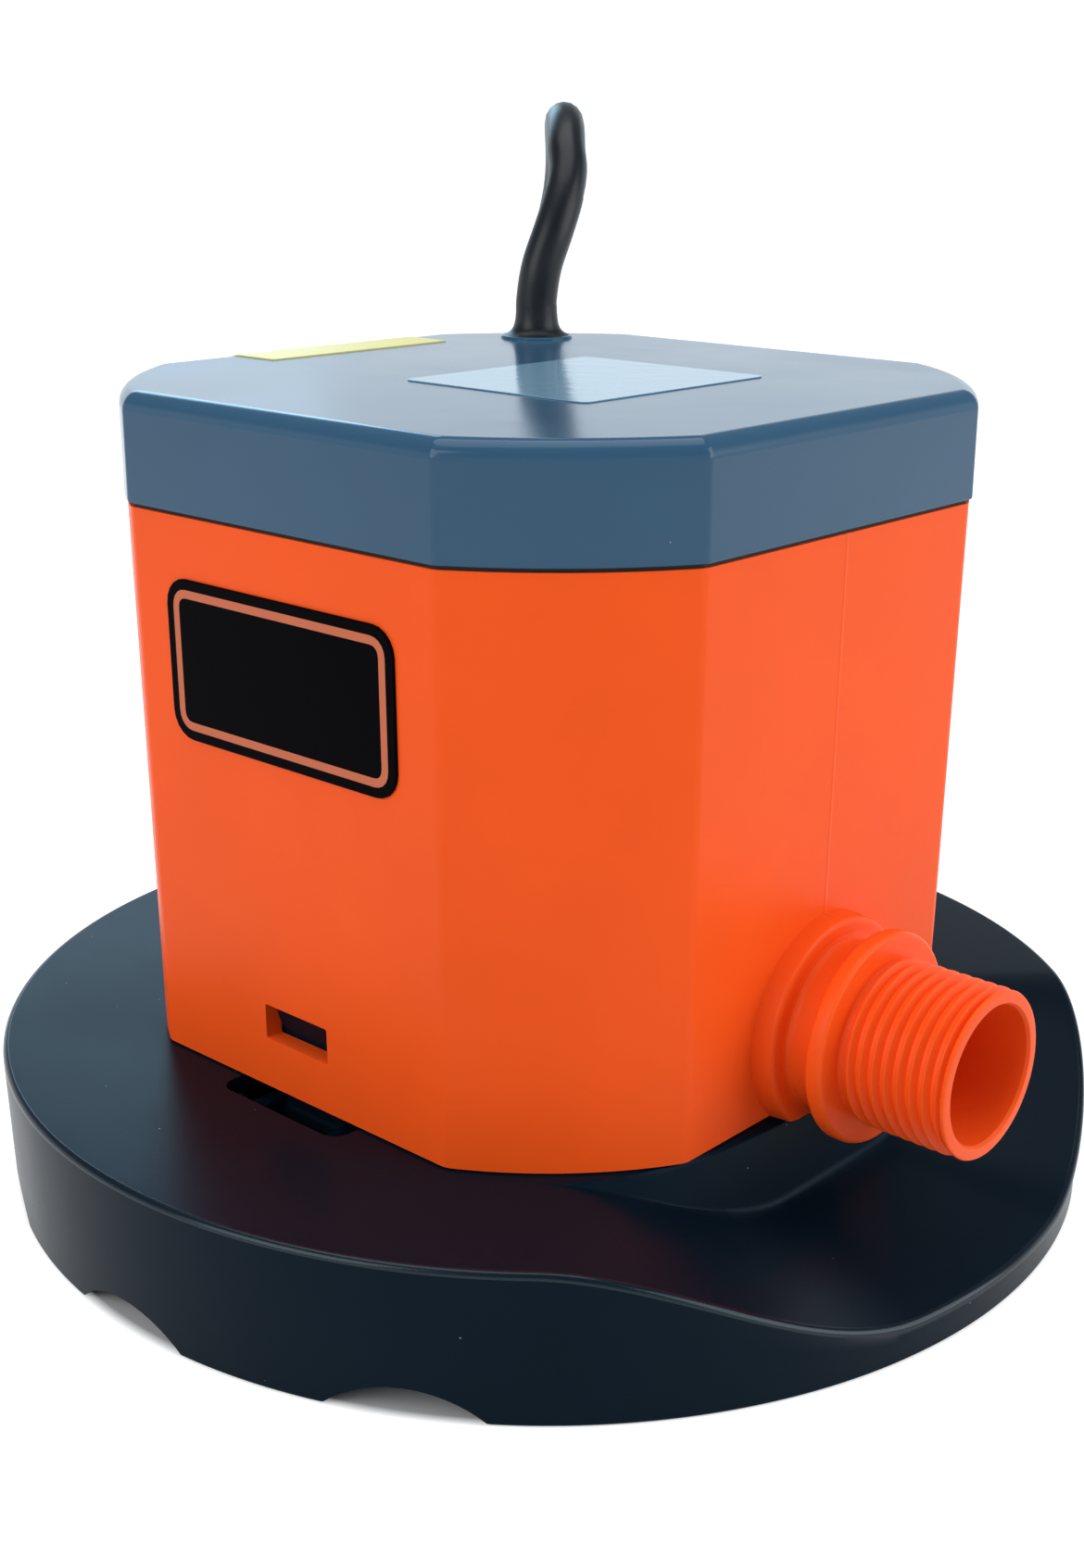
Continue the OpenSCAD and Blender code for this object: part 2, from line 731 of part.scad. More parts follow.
module housing() {
    color("#f75a24")
        difference() {
            union() {
                difference() {
                    block(foot_z, joint_z);
                    block(deck_z, joint_z + 1, wall);
                    block(foot_z - 1, chamber_top, wall);
                }
                fittings();
                along_outlet()
                    rotate_extrude()
                        polygon(outlet_profile);
                intersection() {
                    along_outlet()
                        rotate_extrude()
                            polygon(boss_profile);
                    translate([0, -big / 2, foot_z])
                        cube(big);
                }
            }
            along_outlet()
                translate([0, 0, chamber_r - 6])
                    cylinder(r = bore_r, h = outlet_reach);
            translate([0, 0, foot_z - 1])
                cylinder(r = cover_r + face_gap, h = chamber_z - foot_z + 1);
            at_corners(pillar_at[0], pillar_at[1]) {
                translate([0, 0, foot_z - 1])
                    cylinder(r = screw_r + 2.2, h = screw_web_z - foot_z + 1);
                translate([0, 0, foot_z])
                    cylinder(r = screw_r + 0.2, h = joint_z);
            }
            around(cover_screw_n, cover_screw_at, 45)
                translate([0, 0, chamber_z - 1])
                    cylinder(r = small_screw_r + slip, h = 12);
            around(4, bolt_at)
                translate([0, 0, deck_z + 1.5])
                    cylinder(r = screw_r + slip, h = 20);
            translate([0, 0, chamber_top - 1])
                cylinder(r = seat_r + press, h = 3);
            translate([0, 0, chamber_top])
                cylinder(r = shaft_r + 1, h = 20);
            translate([0, 0, hub_top - 7])
                cylinder(r = bush_r + press, h = 8);
            for (turn = [0, 180])
                rotate(turn)
                    translate([-(catch_w + 0.6) / 2, -wall_x - 5, foot_z + window_up])
                        cube([catch_w + 0.6, 10, window_h]);
        }
}

// Outline of the cap, drawn in by inset
module cap_outline(inset, sides) {
    intersection() {
        square(body_w + 2 * cap_lip - 2 * inset, center = true);
        circle(r = corner_r + cap_lip - inset, $fn = sides);
    }
}

module top_cap() {
    color("#48627a")
        difference() {
            union() {
                difference() {
                    hull() {
                        translate([0, 0, cap_z])
                            linear_extrude(eps)
                                cap_outline(0, 72);
                        for (a = [0:15:90])
                            translate([0, 0, top_z - cap_edge_r * (1 - sin(a)) - eps])
                                linear_extrude(eps)
                                    cap_outline(cap_edge_r * (1 - cos(a)), 72);
                    }
                    translate([0, 0, cap_z - 1])
                        linear_extrude(roof_z - cap_z + 1)
                            cap_outline(wall + cap_lip, 180);
                }
                at_corners(pillar_at[0], pillar_at[1])
                    translate([0, 0, cap_boss_z])
                        cylinder(r = cap_boss_r, h = roof_z - cap_boss_z + eps);
            }
            at_corners(pillar_at[0], pillar_at[1])
                translate([0, 0, cap_boss_z - 1])
                    cylinder(r = screw_r + slip, h = 17);
            translate([gland_at[0], gland_at[1], roof_z - 1])
                cylinder(r = gland_r + 0.1, h = wall + 2);
        }
}

module cap_seal() {
    color("#101214")
        translate([0, 0, joint_z])
            linear_extrude(seal_t)
                difference() {
                    cap_outline(cap_lip + 0.6, 180);
                    cap_outline(cap_lip + wall - 0.2, 180);
                }
}

module cap_screws() {
    color("#b8bcc0")
        at_corners(pillar_at[0], pillar_at[1]) {
            translate([0, 0, screw_web_z - screw_head_h])
                cylinder(r = screw_r + 1.7, h = screw_head_h);
            translate([0, 0, screw_web_z - eps])
                cylinder(r = screw_r, h = cap_boss_z - screw_web_z + 14);
        }
}

module cable_gland() {
    color(cord_colour)
        translate([gland_at[0], gland_at[1], 0])
            rotate_extrude()
                polygon([[0, gland_shank_z], [gland_r, gland_shank_z], [gland_r, top_z],
                         [gland_foot_r, top_z], [gland_foot_r - 0.4, top_z + 0.6],
                         [cord_r + 1.2, top_z + gland_h - 1],
                         [cord_r + 0.5, top_z + gland_h], [0, top_z + gland_h]]);
}

module gland_nut() {
    color("#2b3138")
        translate([gland_at[0], gland_at[1], roof_z - gland_nut_h - 0.05])
            rotate(15)
                difference() {
                    hex(6.9, gland_nut_h);
                    translate([0, 0, -1])
                        cylinder(r = gland_r + slip, h = gland_nut_h + 2);
                }
}

// Blank data label on the cap, a blank label across the cap's edge, and a blank front plate
label_t = 0.2;
rating_at = [-12.5, -21];
rating_size = [39, 44.4];
edge_label_size = [9.5, 42];
edge_label_y = -18;
face_plate_w = 51;
face_plate_h = 26;
face_plate_t = 0.5;
face_plate_z = joint_z - 22.6;

module rating_label() {
    color("#b9c3cb")
        translate([rating_at[0], rating_at[1], top_z])
            cube([rating_size[0], rating_size[1], label_t]);
}

module edge_label() {
    color("#d8d27a")
        translate([-body_w / 2 - cap_lip + cap_edge_r, edge_label_y, top_z])
            cube([edge_label_size[0], edge_label_size[1], label_t]);
}

module face_plate() {
    color("#15120f")
        on_front(face_plate_w, face_plate_h, face_plate_t, face_plate_z);
}

// ---- Pump chamber ---------------------------------------------------------------------------

module chamber_cover() {
    color("#2b3138")
        difference() {
            translate([0, 0, chamber_z - cover_t])
                cylinder(r = cover_r, h = cover_t);
            translate([0, 0, chamber_z - cover_t - 1])
                cylinder(r = eye_r, h = cover_t + 2);
            translate([0, 0, chamber_z - 1.4])
                ring(chamber_r + 2.4, chamber_r + 0.6, 2);
            around(cover_screw_n, cover_screw_at, 45) {
                translate([0, 0, chamber_z - cover_t - 1])
                    cylinder(r = small_screw_r + 0.2, h = cover_t + 2);
                translate([0, 0, chamber_z - cover_t - 1])
                    cylinder(r = cover_head_r + 0.2, h = cover_head_h + 1.1);
            }
        }
}

module chamber_seal() {
    color("#101214")
        translate([0, 0, chamber_z - 0.75])
            rotate_extrude()
                translate([chamber_r + 1.5, 0])
                    circle(r = 0.65, $fn = 24);
}

module cover_screws() {
    color("#b8bcc0")
        around(cover_screw_n, cover_screw_at, 45)
            translate([0, 0, chamber_z - cover_t + 0.1]) {
                cylinder(r = cover_head_r, h = cover_head_h);
                cylinder(r = small_screw_r, h = cover_t + 9);
            }
}

// ---- Motor ----------------------------------------------------------------------------------

module stator_core() {
    color("#6f757b")
        difference() {
            translate([0, 0, stator_z])
                cylinder(r = stator_r, h = stator_h);
            translate([0, 0, stator_z - 1])
                cylinder(r = rotor_r + 0.4, h = stator_h + 2);
            for (i = [0:stator_slots - 1])
                rotate(360 * (i + 0.5) / stator_slots)
                    translate([rotor_r + 2, -2.4, stator_z - 1])
                        cube([winding_out - rotor_r - 2, 4.8, stator_h + 2]);
            around(4, bolt_at)
                translate([0, 0, stator_z - 1])
                    cylinder(r = screw_r + 0.2, h = stator_h + 2);
        }
}

module winding(z0, z1) {
    rotate_extrude()
        polygon([[winding_in + 1.2, z0], [winding_out - 1.2, z0], [winding_out, z0 + 1.2],
                 [winding_out, z1 - 1.2], [winding_out - 1.2, z1], [winding_in + 1.2, z1],
                 [winding_in, z1 - 1.2], [winding_in, z0 + 1.2]]);
}

module lower_winding() {
    color("#b0622c")
        winding(stator_z - lower_winding_h, stator_z);
}

module upper_winding() {
    color("#b0622c")
        winding(stator_top, stator_top + upper_winding_h);
}

module bearing_bracket() {
    color("#8f959b")
        difference() {
            union() {
                translate([0, 0, bracket_z])
                    cylinder(r = stator_r, h = bracket_t);
                translate([0, 0, bracket_z - bracket_drop])
                    cylinder(r = bush_r + bracket_boss, h = bracket_boss_h);
                translate([-capacitor_l * 0.3, capacitor_at[1] - saddle_w / 2, bracket_z + bracket_t - eps])
                    cube([capacitor_l * 0.6, saddle_w, saddle_h]);
                around(4, bolt_at)
                    translate([0, 0, stator_top])
                        cylinder(r = bolt_boss_r, h = bracket_z - stator_top + eps);
            }
            translate([0, 0, bracket_z - bracket_drop - 1])
                cylinder(r = bush_r + press, h = bracket_boss_h + 2);
            translate(capacitor_at)
                rotate([0, 90, 0])
                    cylinder(r = capacitor_r + face_gap, h = capacitor_l, center = true);
            around(4, bolt_at)
                translate([0, 0, stator_top - 1])
                    cylinder(r = screw_r + 0.2, h = 20);
            translate([earth_at[0], earth_at[1], bracket_z - 1])
                cylinder(r = small_screw_r + slip, h = bracket_t + 2);
            for (a = [20, 200])
                rotate(a)
                    translate([15, -6, bracket_z - 1])
                        cube([16, 12, bracket_t + 2]);
        }
}

module motor_bolts() {
    color("#b8bcc0")
        around(4, bolt_at) {
            translate([0, 0, deck_z + 3])
                cylinder(r = screw_r, h = bracket_z + bracket_t - deck_z - 2);
            translate([0, 0, bracket_z + bracket_t])
                cylinder(r = screw_r + 1.5, h = 2.6);
        }
}

module lower_bush() {
    color("#b58a3c")
        translate([0, 0, hub_top - 7])
            ring(bush_r, shaft_r + 0.05, 7);
}

module upper_bush() {
    color("#b58a3c")
        translate([0, 0, bracket_z - bracket_drop])
            ring(bush_r, shaft_r + 0.05, bracket_boss_h);
}

module seal_seat() {
    color("#d9d5c8")
        translate([0, 0, chamber_top])
            ring(seat_r, shaft_r + 0.8, 2);
}

module capacitor() {
    color("#d8dadb")
        translate(capacitor_at)
            rotate([0, 90, 0]) {
                cylinder(r = capacitor_r, h = capacitor_l, center = true);
                for (s = [-1, 1])
                    translate([-tag_l / 2, s * capacitor_r / 2, capacitor_l / 2 - eps])
                        cube([tag_l, 0.8, tag_l]);
            }
}

module terminal_block() {
    color("#e6e2d6")
        translate([0, 0, bracket_z + bracket_t])
            rotate(135)
                translate([20, -12, 0])
                    difference() {
                        cube([11, 24, 9]);
                        for (y = [4, 12, 20])
                            translate([5.5, y, 3])
                                cylinder(r = 2, h = 8);
                    }
}

cutout_w = 7;

module thermal_cutout() {
    color("#3a2a20")
        rotate(70)
            translate([(winding_in + winding_out) / 2 - cutout_w / 2, -6, stator_top + upper_winding_h])
                cube([cutout_w, 12, bracket_z - stator_top - upper_winding_h - face_gap]);
}

module earth_screw() {
    color("#c9a13b")
        translate([earth_at[0], earth_at[1], bracket_z - 2]) {
            cylinder(r = small_screw_r, h = bracket_t + 3);
            translate([0, 0, bracket_t + 2])
                cylinder(r = small_screw_r + 1.6, h = 2.2);
        }
}

wire_colours = ["#2a2a2a", "#e8e8e4", "#2f7a3d"];
wire_r = 1.1;

module lead_wires() {
    for (i = [-1:1]) {
        start = [gland_at[0] + 2.4 * i * sqrt(0.5), gland_at[1] + 2.4 * i * sqrt(0.5), gland_shank_z];
        out = unit([-1, 1, 0]);
        side = unit([1, 1, 0]);
        end = out * 25.5 + side * 8 * i + [0, 0, bracket_z + bracket_t + 9];
        color(wire_colours[i + 1])
            tube([start, start - [0, 0, 3], (start * 3 + end) / 4 - [0, 0, 3], (start + end) / 2 + [0, 0, 1],
                  (start + end * 3) / 4 + [0, 0, 3], end + [0, 0, 3], end], side, wire_r, 8);
    }
}

// ---- Rotor ----------------------------------------------------------------------------------

collar_top = stator_top + 3.5;

module motor_shaft() {
    color("#c4c8cc") {
        translate([0, 0, chamber_z - 0.7])
            cylinder(r = shaft_r, h = bracket_z + 8 - chamber_z + 0.7);
        translate([0, 0, stator_top - 0.4])
            ring(shaft_r + 1.5, shaft_r - eps, collar_top - stator_top + 0.4);
    }
}

module rotor_core() {
    color("#7d8388")
        translate([0, 0, stator_z + 0.5])
            ring(rotor_r, shaft_r + slip, stator_h - 1);
}

shroud_z = chamber_top - 8.5;
nut_r = shaft_r + 2.6;
nut_h = 3.4;

module seal_head() {
    color("#8f959b")
        translate([0, 0, shroud_z + 2.7])
            ring(seal_r, shaft_r + slip, chamber_top - shroud_z - 3);
}

module impeller() {
    color("#e0ddd2")
        difference() {
            union() {
                translate([0, 0, shroud_z])
                    cylinder(r = impeller_r, h = 2.5);
                translate([0, 0, chamber_z + nut_h + 0.1])
                    cylinder(r = shaft_r + 4, h = shroud_z - chamber_z - nut_h);
                intersection() {
                    translate([0, 0, chamber_z + 2.5])
                        cylinder(r = impeller_r, h = shroud_z - chamber_z - 2.4);
                    for (i = [0:vane_n - 1])
                        rotate(360 * i / vane_n)
                            translate([5, -1, 0])
                                rotate(-22)
                                    translate([1, 0, chamber_z + 2])
                                        cube([40, 2, shroud_z - chamber_z]);
                }
            }
            translate([0, 0, chamber_z])
                cylinder(r = shaft_r + slip, h = 40);
            translate([0, 0, chamber_z])
                cylinder(r = nut_r + face_gap, h = nut_h + 0.1);
        }
}

module impeller_nut() {
    color("#b8bcc0")
        translate([0, 0, chamber_z])
            difference() {
                hex(nut_r, nut_h);
                translate([0, 0, -1])
                    cylinder(r = shaft_r + slip, h = nut_h + 2);
            }
}

module thrust_washers() {
    color("#d9c9a0") {
        translate([0, 0, hub_top + 0.1])
            ring(shaft_r + 2.5, shaft_r + slip, 0.8);
        translate([0, 0, collar_top + 0.1])
            ring(shaft_r + 2.5, shaft_r + slip, 0.8);
    }
}

base_disc();
strainer();
strainer_screws();
catch_front();
catch_rear();
power_cord_tail();
power_cord_coil();
power_cord_end();
plug_body();
plug_pins();
cord_tie();
housing();
top_cap();
cap_seal();
cap_screws();
cable_gland();
gland_nut();
power_cord_lead();
rating_label();
edge_label();
face_plate();
chamber_cover();
chamber_seal();
cover_screws();
stator_core();
lower_winding();
upper_winding();
bearing_bracket();
motor_bolts();
lower_bush();
upper_bush();
seal_seat();
capacitor();
terminal_block();
thermal_cutout();
earth_screw();
lead_wires();
motor_shaft();
rotor_core();
seal_head();
impeller();
impeller_nut();
thrust_washers();
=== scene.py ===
from math import atan, atan2, cos, hypot, pi, radians, sin, tan

import bmesh
import bpy
from mathutils import Matrix, Vector


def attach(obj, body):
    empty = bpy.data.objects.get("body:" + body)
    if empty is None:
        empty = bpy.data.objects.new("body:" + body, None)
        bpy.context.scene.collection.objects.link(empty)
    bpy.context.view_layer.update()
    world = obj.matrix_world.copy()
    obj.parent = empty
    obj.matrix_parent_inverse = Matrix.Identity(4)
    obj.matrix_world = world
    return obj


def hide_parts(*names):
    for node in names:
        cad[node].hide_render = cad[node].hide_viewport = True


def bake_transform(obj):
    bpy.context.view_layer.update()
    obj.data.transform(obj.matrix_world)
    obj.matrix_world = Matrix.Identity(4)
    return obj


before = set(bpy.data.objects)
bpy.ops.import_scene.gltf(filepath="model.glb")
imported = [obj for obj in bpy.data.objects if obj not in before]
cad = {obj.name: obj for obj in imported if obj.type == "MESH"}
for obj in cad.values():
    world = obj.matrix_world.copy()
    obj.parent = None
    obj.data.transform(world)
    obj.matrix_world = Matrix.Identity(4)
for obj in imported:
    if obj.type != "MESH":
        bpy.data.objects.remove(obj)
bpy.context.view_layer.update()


# ---- Viewpoint, lamps and floor ---------------------------------------------------------------
# A plain studio: large soft lamps on both sides and overhead, and a white floor that runs into a
# white surround, with a painted shadow on the floor under the base. None of it is part of the pump.

def only(*objects):
    """Deselects everything, then selects these objects and makes the first one active."""
    if bpy.context.object and bpy.context.object.mode != "OBJECT":
        bpy.ops.object.mode_set(mode="OBJECT")
    bpy.ops.object.select_all(action="DESELECT")
    for obj in objects:
        obj.select_set(True)
    if objects:
        bpy.context.view_layer.objects.active = objects[0]


def node(tree, kind, inputs=None, **settings):
    """Adds a shader node. An input takes a number, a colour, or another node's output."""
    new = tree.nodes.new("ShaderNode" + kind)
    for name, value in settings.items():
        setattr(new, name, value)
    for name, value in (inputs or {}).items():
        if isinstance(value, bpy.types.NodeSocket):
            tree.links.new(value, new.inputs[name])
        else:
            new.inputs[name].default_value = value
    return new


def seen_directly(tree):
    """1 for what the camera, a reflection or glass shows, 0 for light that falls on the pump."""
    rays = node(tree, "LightPath").outputs
    seen = node(tree, "Math", {0: rays["Is Camera Ray"], 1: rays["Is Glossy Ray"]}, operation="MAXIMUM")
    seen = node(tree, "Math", {0: seen.outputs[0], 1: rays["Is Transmission Ray"]}, operation="MAXIMUM")
    return seen.outputs[0]


only()
bpy.ops.object.camera_add()
camera = bpy.context.object
camera.name = "viewpoint"
seen_from, heading, tilt, roll = (0.2318, -0.2540, 0.1775), 42.11, 71.82, 0.305
camera.matrix_world = (Matrix.Translation(seen_from) @ Matrix.Rotation(radians(heading), 4, "Z")
                       @ Matrix.Rotation(radians(tilt), 4, "X") @ Matrix.Rotation(radians(roll), 4, "Z"))
camera.data.lens = 47.64
camera.data.sensor_width = 36
camera.data.shift_x = -0.0096
camera.data.clip_start = 0.01
bpy.context.scene.camera = camera
bpy.context.scene.view_settings.view_transform = "Standard"

surround = bpy.data.worlds.new("white_surround")
surround.use_nodes = True
bpy.context.scene.world = surround
tree = surround.node_tree
up = node(tree, "SeparateXYZ", {0: node(tree, "TexCoord").outputs["Generated"]}).outputs["Z"]
shown = node(tree, "MapRange", {"Value": up, "From Min": 0.19, "From Max": 0.42,
                               "To Min": 0.67, "To Max": -0.2})
lit = node(tree, "Math", {0: seen_directly(tree), 1: shown.outputs[0], 2: 0.45}, operation="MULTIPLY_ADD")
tree.links.new(lit.outputs[0], tree.nodes["Background"].inputs["Strength"])
tree.nodes["Background"].inputs["Color"].default_value = (0.91, 1, 1.07, 1)

only()
bpy.ops.mesh.primitive_plane_add(size=8)
floor = bpy.context.object
floor.name = "floor"
paper = bpy.data.materials.new("white_paper")
paper.use_nodes = True
tree = paper.node_tree
shader = tree.nodes["Principled BSDF"]
shader.inputs["Base Color"].default_value = (0.6, 0.6, 0.6, 1)
shader.inputs["Roughness"].default_value = 0.9
shader.inputs["Specular IOR Level"].default_value = 0.1
shader.inputs["Emission Color"].default_value = (1, 1, 1, 1)
# Painted shadow: the lift fades out inside the base's rim, darkening the floor seen through the inlets.
reach = node(tree, "VectorMath", {0: node(tree, "TexCoord").outputs["Object"]}, operation="LENGTH")
lift_outside_painted_shadow = node(tree, "MapRange", {"Value": reach.outputs["Value"], "From Min": 0.0925,
                                  "From Max": 0.0948, "To Min": 0, "To Max": 0.75})
lift = node(tree, "Math", {0: seen_directly(tree), 1: lift_outside_painted_shadow.outputs[0]}, operation="MULTIPLY")
tree.links.new(lift.outputs[0], shader.inputs["Emission Strength"])
floor.data.materials.append(paper)


def lamp(name, place, size, energy, colour=(1, 1, 1)):
    """A square soft lamp that faces the pump."""
    only()
    bpy.ops.object.light_add(type="AREA", location=place)
    obj = bpy.context.object
    obj.name = name
    obj.data.shape = "SQUARE"
    obj.data.size = size
    obj.data.energy = energy
    obj.data.color = colour
    obj.rotation_euler = (Vector((0, 0, 0.07)) - Vector(place)).to_track_quat("-Z", "Y").to_euler()


lamp("left_lamp", (-0.15, -1.2, 0.7), 0.9, 9)
lamp("right_lamp", (0.98, 0.5, 0.55), 0.9, 8.6)
lamp("top_lamp", (-0.15, 0.1, 1.3), 1.1, 8.5)
lamp("rear_lamp", (-0.95, 0.57, 0.55), 0.36, 1.5, (0.45, 0.75, 1))


# ---- Power cord -------------------------------------------------------------------------------
# A three-core mains lead in smooth black PVC, 7.4 mm across and about 6.7 m long. It leaves the
# gland on the cap, bends down behind the pump, and the rest is wound into a coil beside the base.

mm = 0.001
cord_d = 7.4
cord_exit = (-41.22, 41.51, 138)
lead_route = [cord_exit, (-41.22, 41.51, 142), (-40.6, 42.3, 148.2), (-39.9, 44.7, 154.5),
              (-40.5, 48, 160), (-42.8, 51.9, 165), (-46.2, 55.2, 169), (-50, 59.3, 172),
              (-54, 63.5, 173.6), (-58.4, 68, 174),
              (-62.4, 72.2, 173.4), (-66.2, 76.4, 171.6), (-69.6, 80.3, 168.7), (-72.8, 83.8, 164.7),
              (-75.8, 86.4, 159.8), (-78.6, 87.7, 154), (-80.7, 87.8, 147.5), (-82, 87.1, 140),
              (-82.8, 86.4, 131), (-83, 86, 120)]
drop_at = (-83, 86)
coil_turns, coil_layers = 6, 4
coil_pitch, coil_middle = 7.9, 44
coil_out = coil_middle + coil_turns * coil_pitch / 2
coil_z = 5.0
base_reach, coil_gap, coil_bearing = 95.1, 1.5, radians(32.5)
coil_away = base_reach + coil_out + cord_d / 2 + coil_gap
coil_at = (-coil_away * sin(coil_bearing), coil_away * cos(coil_bearing))
run_angle = 240


def climb(t):
    """Steady climb from 0 to 1 over the half turn round t = 0."""
    s = min(1, max(0, 2 * t + 0.5))
    return s * s * (3 - 2 * s)


def coil_point(t):
    """The cord's centre after t turns of the coil, which winds in and out again in layers."""
    layer = int(t / coil_turns)
    part = t - layer * coil_turns
    r = coil_out - coil_pitch * (part if layer % 2 == 0 else coil_turns - part)
    a = radians(run_angle - 360 * t)
    up = sum(climb(t - k * coil_turns) for k in range(1, coil_layers))
    return (coil_at[0] + r * cos(a), coil_at[1] + r * sin(a), coil_z + coil_pitch * up)


def smooth_run(points, steps):
    """A smooth curve through the points, with that many steps from one to the next."""
    points = [Vector(p) for p in points]
    run = []
    for i in range(len(points) - 1):
        a, b = points[i], points[i + 1]
        before, after = points[max(i - 1, 0)], points[min(i + 2, len(points) - 1)]
        reach = (b - a).length
        ta = (b - before).normalized() * reach
        tb = (after - a).normalized() * reach
        for k in range(steps):
            s = k / steps
            run.append(a * (2 * s**3 - 3 * s**2 + 1) + ta * (s**3 - 2 * s**2 + s)
                       + b * (3 * s**2 - 2 * s**3) + tb * (s**3 - s**2))
    return run


run_heading = Vector((sin(radians(run_angle)), -cos(radians(run_angle)), 0))


def before_coil(short, z):
    """A point that far short of the coil's first turn, at height z."""
    p = Vector(coil_point(0)) - short * run_heading
    return (p.x, p.y, z)


def drop_point(z, share):
    """A point on the way down, at height z, that has swung over by that share to the coil's run."""
    x, y, _ = before_coil(45, z)
    return (drop_at[0] * (1 - share) + x * share, drop_at[1] * (1 - share) + y * share, z)


lead_route += [drop_point(*p) for p in ((110, 0.02), (100, 0.1), (90, 0.26), (80, 0.42), (70, 0.6),
                                        (60, 0.78), (50, 0.92), (40, 1))]
lead_route += [before_coil(*p) for p in ((44, 28), (41, 20.5), (36, 14), (29.5, 9.2), (22, 6.1),
                                         (2 * cord_d, coil_z), (cord_d, coil_z))]
coil_end = coil_turns * coil_layers - 1 + (run_angle - 180) / 360
loop_steps = 48
wound = [Vector(coil_point(k / loop_steps)) for k in range(int(loop_steps * coil_end) + 1)]
top = wound[-1] + Vector((0, cord_d, 0))
plug_at = Vector((coil_at[0] - 18, coil_at[1] + 44, coil_z + 3 * coil_pitch + cord_d / 2 + 0.2 + 12))
end_route = [top] + [top + Vector(p) for p in ((0, 3, 0), (0.5, 9, 0.5), (2.3, 15.4, 2.1),
                                               (5.7, 21.4, 4.5), (10.7, 26.8, 7.4),
                                               (16.9, 31.2, 10.4), (23.9, 34.3, 13.1))]
end_route += [plug_at + Vector(p) for p in ((-11.5, -0.6, -0.9), (-6, 0, -0.2), (-3, 0, 0), (0, 0, 0))]
between = 6
cord_path = smooth_run(lead_route, between) + [Vector(lead_route[-1])] + wound
cord_path += smooth_run(end_route, between) + [plug_at]
cord_path = [p * mm for p in cord_path]


def close_up():
    """In edit mode, joins the points that meet, turns every face outwards and leaves edit mode."""
    bpy.ops.mesh.select_all(action="SELECT")
    bpy.ops.mesh.remove_doubles(threshold=1e-6)
    bpy.ops.mesh.normals_make_consistent(inside=False)
    bpy.ops.object.mode_set(mode="OBJECT")


def tube(name, path, radii, sides):
    """A closed round tube along a path, made as a bevelled curve and turned into a mesh."""
    curve = bpy.data.curves.new(name, "CURVE")
    curve.dimensions = "3D"
    curve.bevel_depth = 1
    curve.bevel_resolution = sides // 2 - 2
    curve.use_fill_caps = True
    spline = curve.splines.new("POLY")
    spline.points.add(len(path) - 1)
    for point, place, r in zip(spline.points, path, radii):
        point.co = (*place, 1)
        point.radius = r
    obj = bpy.data.objects.new(name, curve)
    bpy.context.collection.objects.link(obj)
    only(obj)
    bpy.ops.object.convert(target="MESH")
    obj = bpy.context.object
    bpy.ops.object.mode_set(mode="EDIT")
    close_up()
    bpy.ops.object.shade_smooth_by_angle(angle=radians(40))
    return obj


def node_group(name, inputs, outputs):
    """An empty shader group with named sockets: (name, kind, value) in and (name, kind) out."""
    group = bpy.data.node_groups.new(name, "ShaderNodeTree")
    for label, kind, value in inputs:
        socket = group.interface.new_socket(label, in_out="INPUT", socket_type="NodeSocket" + kind)
        socket.default_value = value
    for label, kind in outputs:
        group.interface.new_socket(label, in_out="OUTPUT", socket_type="NodeSocket" + kind)
    given, out = group.nodes.new("NodeGroupInput"), group.nodes.new("NodeGroupOutput")
    return group, given.outputs, out.inputs


# Moulded plastic: its shade drifts a little with the flow, and its skin has a fine grain
moulded, given, out = node_group(
    "moulded_skin",
    [("Colour", "Color", (0.5, 0.5, 0.5, 1)), ("Drift", "Float", 0.06), ("Roughness", "Float", 0.4),
     ("Grain Scale", "Float", 2500)],
    [("Colour", "Color"), ("Roughness", "Float"), ("Height", "Float")])
place = node(moulded, "TexCoord").outputs["Object"]
flow = node(moulded, "TexNoise", {"Vector": place, "Scale": 28, "Detail": 3, "Roughness": 0.55})
patch = node(moulded, "MapRange", {"Value": flow.outputs["Fac"], "From Min": 0.3, "From Max": 0.7,
                                   "To Min": -1, "To Max": 1})
shade = node(moulded, "Math", {0: patch.outputs[0], 1: given["Drift"], 2: 1}, operation="MULTIPLY_ADD")
tinted = node(moulded, "VectorMath", {0: given["Colour"]}, operation="SCALE")
moulded.links.new(shade.outputs[0], tinted.inputs["Scale"])
moulded.links.new(tinted.outputs[0], out["Colour"])
uneven = node(moulded, "Math", {0: patch.outputs[0], 1: 0.03, 2: given["Roughness"]},
              operation="MULTIPLY_ADD")
moulded.links.new(uneven.outputs[0], out["Roughness"])
grain = node(moulded, "TexNoise", {"Vector": place, "Scale": given["Grain Scale"], "Detail": 2})
moulded.links.new(grain.outputs["Fac"], out["Height"])

# Dust: small pale specks, a few to the square centimetre, where the skin is dark enough to show them
dusty, given, out = node_group(
    "dust_specks",
    [("Colour", "Color", (0.5, 0.5, 0.5, 1)), ("Dust", "Color", (0.45, 0.47, 0.48, 1)),
     ("Scale", "Float", 400), ("Amount", "Float", 0.06), ("Size", "Float", 0.045)],
    [("Colour", "Color"), ("Mask", "Float")])
place = node(dusty, "TexCoord").outputs["Object"]
cells = node(dusty, "TexVoronoi", {"Vector": place, "Scale": given["Scale"]})
dot = node(dusty, "Math", {0: cells.outputs["Distance"], 1: given["Size"]}, operation="LESS_THAN")
pick_some = node(dusty, "SeparateColor", {"Color": cells.outputs["Color"]})
some = node(dusty, "Math", {0: pick_some.outputs[0], 1: given["Amount"]}, operation="LESS_THAN")
both = node(dusty, "Math", {0: dot.outputs[0], 1: some.outputs[0]}, operation="MULTIPLY")
faint = node(dusty, "Math", {0: both.outputs[0], 1: pick_some.outputs[1]}, operation="MULTIPLY")
